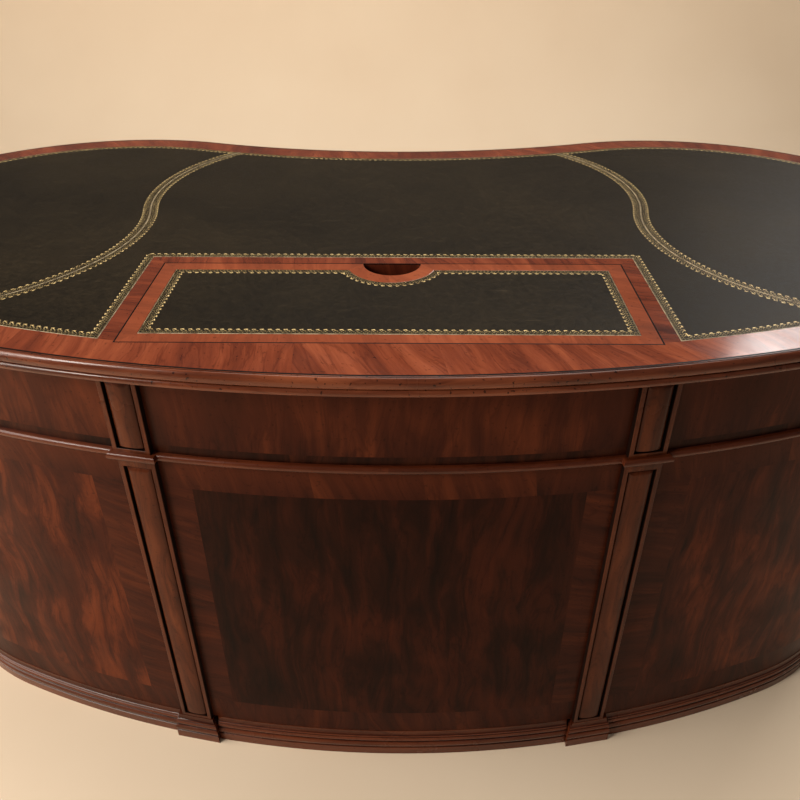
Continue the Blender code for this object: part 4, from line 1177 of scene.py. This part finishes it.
def skin(name, node, body, outline):
    bm, face = lie_face(outline, leather_foot)
    raised(bm, [face, *face.edges], leather_top - leather_foot)
    # The bevelled edge of each hide takes the pale edge finish: a painted highlight.
    set_up(bm, name, body, [node], [black_hide, hide_edge], edge=0.0008, arris=1)


def inner_line(outline, depth):
    bm, face = lie_face(outline, 0.0)
    ring_in(bm, [face], depth)
    points = [loop.vert.co.xy.copy() for loop in face.loops]
    bm.free()
    return points


def paces(points, pitch):
    """Even steps along a closed line: a point and the direction of the line there."""
    legs = list(zip(points, points[1:] + points[:1]))
    total = sum((b - a).length for a, b in legs)
    step = total / round(total / pitch)
    done, due = 0.0, step / 2
    for a, b in legs:
        length = (b - a).length
        while due < done + length:
            yield a + (b - a) * (due - done) / length, math.atan2(b.y - a.y, b.x - a.x)
            due += step
        done += length


boss_middle, boss_height, boss_crown = 0.00004, 0.00010, 0.72


def hand_tool(name, *strokes):
    """A gilder's hand tool: low bosses, each with its place, lean, half size and corners."""
    bm = bmesh.new()
    for offset, lean, size, corners in strokes:
        place = Matrix.Translation((*offset, boss_middle)) @ Matrix.Rotation(math.radians(lean), 4, "Z")
        bmesh.ops.create_cone(
            bm, cap_ends=True, segments=corners, radius1=1.0, radius2=boss_crown, depth=boss_height,
            matrix=place @ Matrix.Diagonal((*size, 1, 1)),
        )
    return made(bm, name)


scroll = hand_tool(
    "scroll_tool",
    ((-0.0012, 0.0019), 14, (0.0027, 0.0008), 8),
    ((0.0010, 0.0002), -34, (0.0025, 0.00045), 6),
    ((-0.0024, -0.0004), 74, (0.0011, 0.0003), 6),
    ((-0.0006, -0.0023), 6, (0.0011, 0.0004), 6),
    ((0.0040, -0.0019), 14, (0.0009, 0.00045), 6),
)
tick = hand_tool(
    "tick_tool", ((0.0, 0.0004), 38, (0.0006, 0.00016), 4), ((0.0, -0.0004), -38, (0.0006, 0.00016), 4)
)


def press(bm, tool, points, pitch):
    for at, turn in paces(points, pitch):
        print_of = tool.copy()
        print_of.transform(Matrix.Translation((*at, leather_top)) @ Matrix.Rotation(turn, 4, "Z"))
        bm.from_mesh(print_of)
        bpy.data.meshes.remove(print_of)


line_width, line_foot, line_height, ribbon_edge, ribbon_width = 0.00012, 0.00002, 0.00006, 0.0014, 0.0032
ribbon_middle, tick_pitch, leaf_middle, leaf_pitch = 0.0032, 0.0047, 0.0091, 0.0094


def gild(name, body, outline):
    bm, face = lie_face(outline, leather_top + line_foot)
    lines = []
    for space in (ribbon_edge, ribbon_width):
        ring_in(bm, [face], space)
        lines += ring_in(bm, [face], line_width)
    others = [f for f in bm.faces if f not in set(lines)]
    bmesh.ops.delete(bm, geom=others, context="FACES")
    raised(bm, lines + [*{e for f in lines for e in f.edges}], line_height)
    press(bm, tick, inner_line(outline, ribbon_middle), tick_pitch)
    press(bm, scroll, inner_line(outline, leaf_middle), leaf_pitch)
    set_up(bm, name, body, [], [tooled_gold])


for name, outline in (("right", right_skin), ("left", flipped(right_skin)), ("centre", centre_skin)):
    skin(f"{name}_hide", f"leather_{name}", "carcass", outline)
    gild(f"{name}_gold_tooling", "carcass", outline)


# The flap
# A lid over the compartment, crossbanded and mitred like the surround, with its own leather
# and a round finger notch. It turns on two barrel hinges let into its near edge.

flap_gap, flap_band, flap_foot, notch_edge = 0.0012, 0.0205, desk_height - 0.014, 0.062


def on_flap(at, inset):
    """The flap's outline: 0 to 2 and 5 are its corners, 3 to 4 the notch."""
    set_back = flap_gap + inset
    half_x, near, far = flap_x - set_back, flap_near_y + set_back, flap_far_y - set_back
    corners = {0: (-half_x, near), 1: (half_x, near), 2: (half_x, far), 5: (-half_x, far)}
    if at in corners:
        return corners[at]
    radius = finger_x + inset * 0.0225 / flap_band
    dip = math.asin((flap_far_y - far) / radius)
    turn = -dip + (2 * dip - math.pi) * (at - 3)
    return radius * math.cos(turn), flap_far_y + radius * math.sin(turn)


flap_round = [Place(on_flap, at) for at in (0, 1, 2, *(3 + i / 40 for i in range(41)), 5)]
section = [(0.0, flap_foot), (0.0, desk_height - 0.0004), (-0.0007, desk_height)]
section += [(-flap_band + 0.0004, desk_height), (-flap_band, desk_height - 0.0003)]
section += [(-flap_band - 0.0001, desk_height - pocket_depth)]
# The flap's outer edge and its chamfer take the near-black finish: painted shade of the gap round the flap.
bm = carried(flap_round, 0.0, section, closed=True, open_section=True, finishes=[1, 1, 0, 0, 2])
bmesh.ops.recalc_face_normals(bm, faces=bm.faces)
lay_flat(bm, bmesh.ops.holes_fill(bm, edges=[e for e in bm.edges if e.is_boundary], sides=0)["faces"])
bmesh.ops.recalc_face_normals(bm, faces=bm.faces)
grain = bm.loops.layers.uv.active
for face in bm.faces:
    x, y, z = face.calc_center_median()
    off_notch = math.hypot(x, y - flap_far_y) > notch_edge
    if face.normal.z > 0.5 and z > desk_height - 0.001 and off_notch:
        sideways = flap_x - abs(x) < min(y - flap_near_y, flap_far_y - y)
        for loop in face.loops:
            px, py, _ = loop.vert.co
            loop[grain].uv = (py, px) if sideways else (px, py)
for sign in (-1, 1):
    bore(bm, sign * barrel_x, flap_near_y + flap_gap, bore_radius, bore_depth)
finishes = [crossband, string_and_gap_shade, ledge_wood]
set_up(bm, "flap_board", "flap", ["flap_panel"], finishes, sharp=15)

flap_skin = [on_flap(place.at, flap_band + seat) for place in flap_round]
skin("flap_hide", "flap_leather", "flap", flap_skin)
gild("flap_gold_tooling", "flap", flap_skin)


def old_brass(name):
    """Brass with years of polish: bright on the crowns, brown in the hollows, faint scratches."""
    material, tree, shader = new_finish(name)
    place = own_space(tree)
    stain = noise(tree, mapped(tree, place, (60.0, 60.0, 60.0)), detail=5.0, rough=0.6)
    stops = (0.34, seen(112, 80, 38)), (0.52, seen(178, 136, 72)), (0.7, seen(208, 168, 100))
    body = ramp(tree, stain, *stops)
    curvature = tree.nodes.new("ShaderNodeAttribute")
    curvature.attribute_name = "crest"
    hollow_darkening = spread(tree, curvature.outputs["Fac"], -1.0, 0.0, 0.8, 0.0)
    tree.links.new(blended(tree, "MULTIPLY", hollow_darkening, body, seen(90, 66, 40)), shader.inputs["Base Color"])
    shader.inputs["Metallic"].default_value = 1.0
    scratches = noise(tree, mapped(tree, place, (900.0, 90.0, 900.0), 0.7), detail=3.0)
    roughened(tree, shader, scratches, 0.22, 0.40)
    bumps(tree, shader, scratches, 0.00004, 0.4)
    return material


polished_brass = old_brass("polished_brass")
for side in ("left", "right"):
    for kind in ("fixed", "moving"):
        dress(f"flap_hinge_{side}_{kind}", polished_brass)


# The drawers
# Bent mahogany fronts, veneered with a figured field and a band across the grain inside a cock
# bead, on oak boxes, with turned brass knobs that are screwed on.

drawer_gap, drawer_band, centre_knob_x = 0.0015, 0.018, 0.1263
drawer_veneer = mahogany(
    "drawer_veneer", (40, 16, 9), (76, 35, 19), (110, 58, 34), flame=0.7, shine=0.26
)
cock_bead_wood = mahogany(
    "cock_bead_mahogany", (36, 14, 8), (60, 27, 15), (84, 42, 24), figure=0.7, turned=True
)


def drawer_front(name, span, inset, opening):
    low, high = opening[0] + drawer_gap, opening[1] - drawer_gap
    places = along(back_at, span[0] + drawer_gap, span[1] - drawer_gap, 36)
    bm = plain_board(places, inset, low, high)
    bmesh.ops.recalc_face_normals(bm, faces=bm.faces)
    face = [f for f in bm.faces if f.normal.y > 0.3 and abs(f.normal.z) < 0.1 and abs(f.normal.x) < 0.95]
    bead = ring_in(bm, face, 0.0028) + ring_in(bm, face, 0.0003, -0.0010)
    band = ring_in(bm, face, drawer_band)
    for strip_face in bead:
        strip_face.material_index = 2
    lay_flat(bm, band, 1)
    ends = []
    for strip_face in band:
        x, _, z = strip_face.calc_center_median()
        to_end = min(x - span[0], span[1] - x)
        if to_end < min(z - low, high - z):
            ends.append(strip_face)
    cross_grain(bm, ends)
    finishes = [drawer_veneer, band_veneer, cock_bead_wood]
    set_up(bm, f"{name}_drawer_face", f"drawer_{name}", [f"drawer_front_{name}"], finishes)
    dress(f"drawer_box_{name}", lining_oak)
    return (low + high) / 2


knob_profile = [(0.0, 0.0260), (0.0030, 0.0259), (0.0060, 0.0254), (0.0086, 0.0245), (0.0108, 0.0230)]
knob_profile += [(0.0124, 0.0211), (0.0133, 0.0190), (0.0134, 0.0172), (0.0127, 0.0154), (0.0110, 0.0139)]
knob_profile += [(0.0084, 0.0128), (0.0064, 0.0117), (0.0052, 0.0104), (0.0047, 0.0088), (0.0048, 0.0068)]
knob_profile += [(0.0056, 0.0052), (0.0072, 0.0046), (0.0074, 0.0040), (0.0104, 0.0036), (0.0120, 0.0028)]
knob_profile += [(0.0121, 0.0018), (0.0116, 0.0010), (0.0116, 0.0), (0.0, 0.0)]


def turned_knob(name, drawer, x, inset, z):
    bm = bmesh.new()
    crest = bm.verts.layers.float.new("crest")
    points = [bm.verts.new((radius, 0, out)) for radius, out in knob_profile]
    for vert, (radius, out) in zip(points, knob_profile):
        if 0.003 < out < 0.0045 or 0.0095 < out < 0.0125:
            vert[crest] = -0.8
    edges = [bm.edges.new(pair) for pair in zip(points, points[1:])]
    bmesh.ops.spin(
        bm, geom=points + edges, cent=(0, 0, 0), axis=(0, 0, 1), dvec=(0, 0, 0), angle=2 * math.pi, steps=36,
        use_merge=True,
    )
    bmesh.ops.remove_doubles(bm, verts=bm.verts, dist=1e-6)
    near, far = back_at(x - 0.005, inset), back_at(x + 0.005, inset)
    slope = math.atan2(far[1] - near[1], far[0] - near[0])
    bmesh.ops.rotate(bm, matrix=Matrix.Rotation(-quarter, 3, "X"), verts=bm.verts)
    bmesh.ops.rotate(bm, matrix=Matrix.Rotation(slope, 3, "Z"), verts=bm.verts)
    x, y = back_at(x, inset)
    sunk = 0.0006
    bmesh.ops.translate(bm, vec=(x + sunk * math.sin(slope), y - sunk * math.cos(slope), z), verts=bm.verts)
    set_up(bm, f"{name}_turned", drawer, [name], [polished_brass], sharp=50)


centre_z = drawer_front("frieze_centre", (-knee_x, knee_x), frieze_inset, frieze_opening)
for side, sign in (("left", -1), ("right", 1)):
    name = f"drawer_knob_frieze_centre_{side}"
    turned_knob(name, "drawer_frieze_centre", sign * centre_knob_x, frieze_inset, centre_z)
    span = sorted((sign * stile_x, sign * drawer_edge_x))
    for tier, inset, opening in (
        ("frieze", frieze_inset, frieze_opening),
        ("upper", pedestal_inset, drawer_openings["upper"]),
        ("file", pedestal_inset, drawer_openings["file"]),
    ):
        middle_z = drawer_front(f"{tier}_{side}", span, inset, opening)
        name = f"drawer_knob_{tier}_{side}"
        turned_knob(name, f"drawer_{tier}_{side}", sum(span) / 2, inset, middle_z)


# The room
# A plain pale floor that sweeps up behind the desk, soft warm light from the visitor's upper
# left, and a pale screen beyond the far right that the polished top mirrors.


def plaster(name, colour, dark):
    material, tree, shader = new_finish(name)
    place = own_space(tree)
    cloud = noise(tree, mapped(tree, place, (1.3, 1.3, 1.3)), detail=4.0)
    tree.links.new(ramp(tree, cloud, (0.3, dark), (0.7, colour)), shader.inputs["Base Color"])
    shader.inputs["Roughness"].default_value = 0.85
    shader.inputs["Specular IOR Level"].default_value = 0.2
    return material


bm = bmesh.new()
sweep = [(-4.0, 0.0), (1.9, 0.0), (2.1, 0.02), (2.3, 0.09), (2.5, 0.24), (2.64, 0.46)]
sweep += [(2.7, 0.75), (2.7, 1.0)]
start = [bm.verts.new((-6.0, y, z)) for y, z in sweep]
edges = [bm.edges.new(pair) for pair in zip(start, start[1:])]
grown = bmesh.ops.extrude_edge_only(bm, edges=edges)["geom"]
bmesh.ops.translate(bm, vec=(12.0, 0, 0), verts=[v for v in grown if isinstance(v, bmesh.types.BMVert)])
bmesh.ops.recalc_face_normals(bm, faces=bm.faces)
if min(bm.faces, key=lambda f: f.calc_center_median().z).normal.z < 0:
    bmesh.ops.reverse_faces(bm, faces=bm.faces)
mesh = made(bm, "room_sweep")
mesh.shade_smooth()
mesh.materials.append(plaster("warm_plaster", seen(234, 215, 190), seen(229, 208, 182)))
room = bpy.data.objects.new("room_sweep", mesh)
bpy.context.scene.collection.objects.link(room)
room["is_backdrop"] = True


def lamp(name, place, aim, size, power, colour):
    light = bpy.data.lights.new(name, "AREA")
    light.shape = "RECTANGLE"
    light.size, light.size_y = size
    light.energy = power
    light.color = colour
    holder = bpy.data.objects.new(name, light)
    holder.location = place
    holder.rotation_euler = (Vector(aim) - Vector(place)).to_track_quat("-Z", "Y").to_euler()
    bpy.context.scene.collection.objects.link(holder)


daylight = (1.0, 0.92, 0.82)
lamp("window_light", (-2.3, -1.9, 2.3), (0.0, 0.0, 0.5), (0.6, 1.0), 40, daylight)
lamp("side_window", (-2.5, -0.9, 1.7), (0.0, 0.0, 0.4), (2.0, 2.0), 78, daylight)
lamp("ceiling_light", (0.3, 0.6, 3.2), (0.0, 0.1, 0.5), (2.6, 2.2), 66, (1.0, 0.94, 0.86))
lamp("far_screen", (1.72, 1.37, 2.07), (0.45, -0.34, 0.737), (0.9, 0.7), 17, (1.0, 0.97, 0.94))

world = bpy.data.worlds.new("room_air")
world.use_nodes = True
air = world.node_tree.nodes["Background"]
air.inputs["Color"].default_value = (1.0, 0.93, 0.84, 1.0)
air.inputs["Strength"].default_value = 0.12
bpy.context.scene.world = world
bpy.context.scene.view_settings.view_transform = "Standard"

lens = bpy.data.cameras.new("photo_camera")
lens.sensor_width = 36.0
lens.lens = 35.0
camera = bpy.data.objects.new("photo_camera", lens)
camera.location = (0.0241, -1.1595, 1.1727)
yaw, pitch, roll = math.radians(-0.775), math.radians(33.552), math.radians(-0.11)
turned = Matrix.Rotation(-yaw, 4, "Z") @ Matrix.Rotation(quarter - pitch, 4, "X")
camera.rotation_euler = (turned @ Matrix.Rotation(roll, 4, "Z")).to_euler()
bpy.context.scene.collection.objects.link(camera)
bpy.context.scene.camera = camera

visual_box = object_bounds()
[[list(corner) for corner in box] for box in (cad_box, visual_box)]
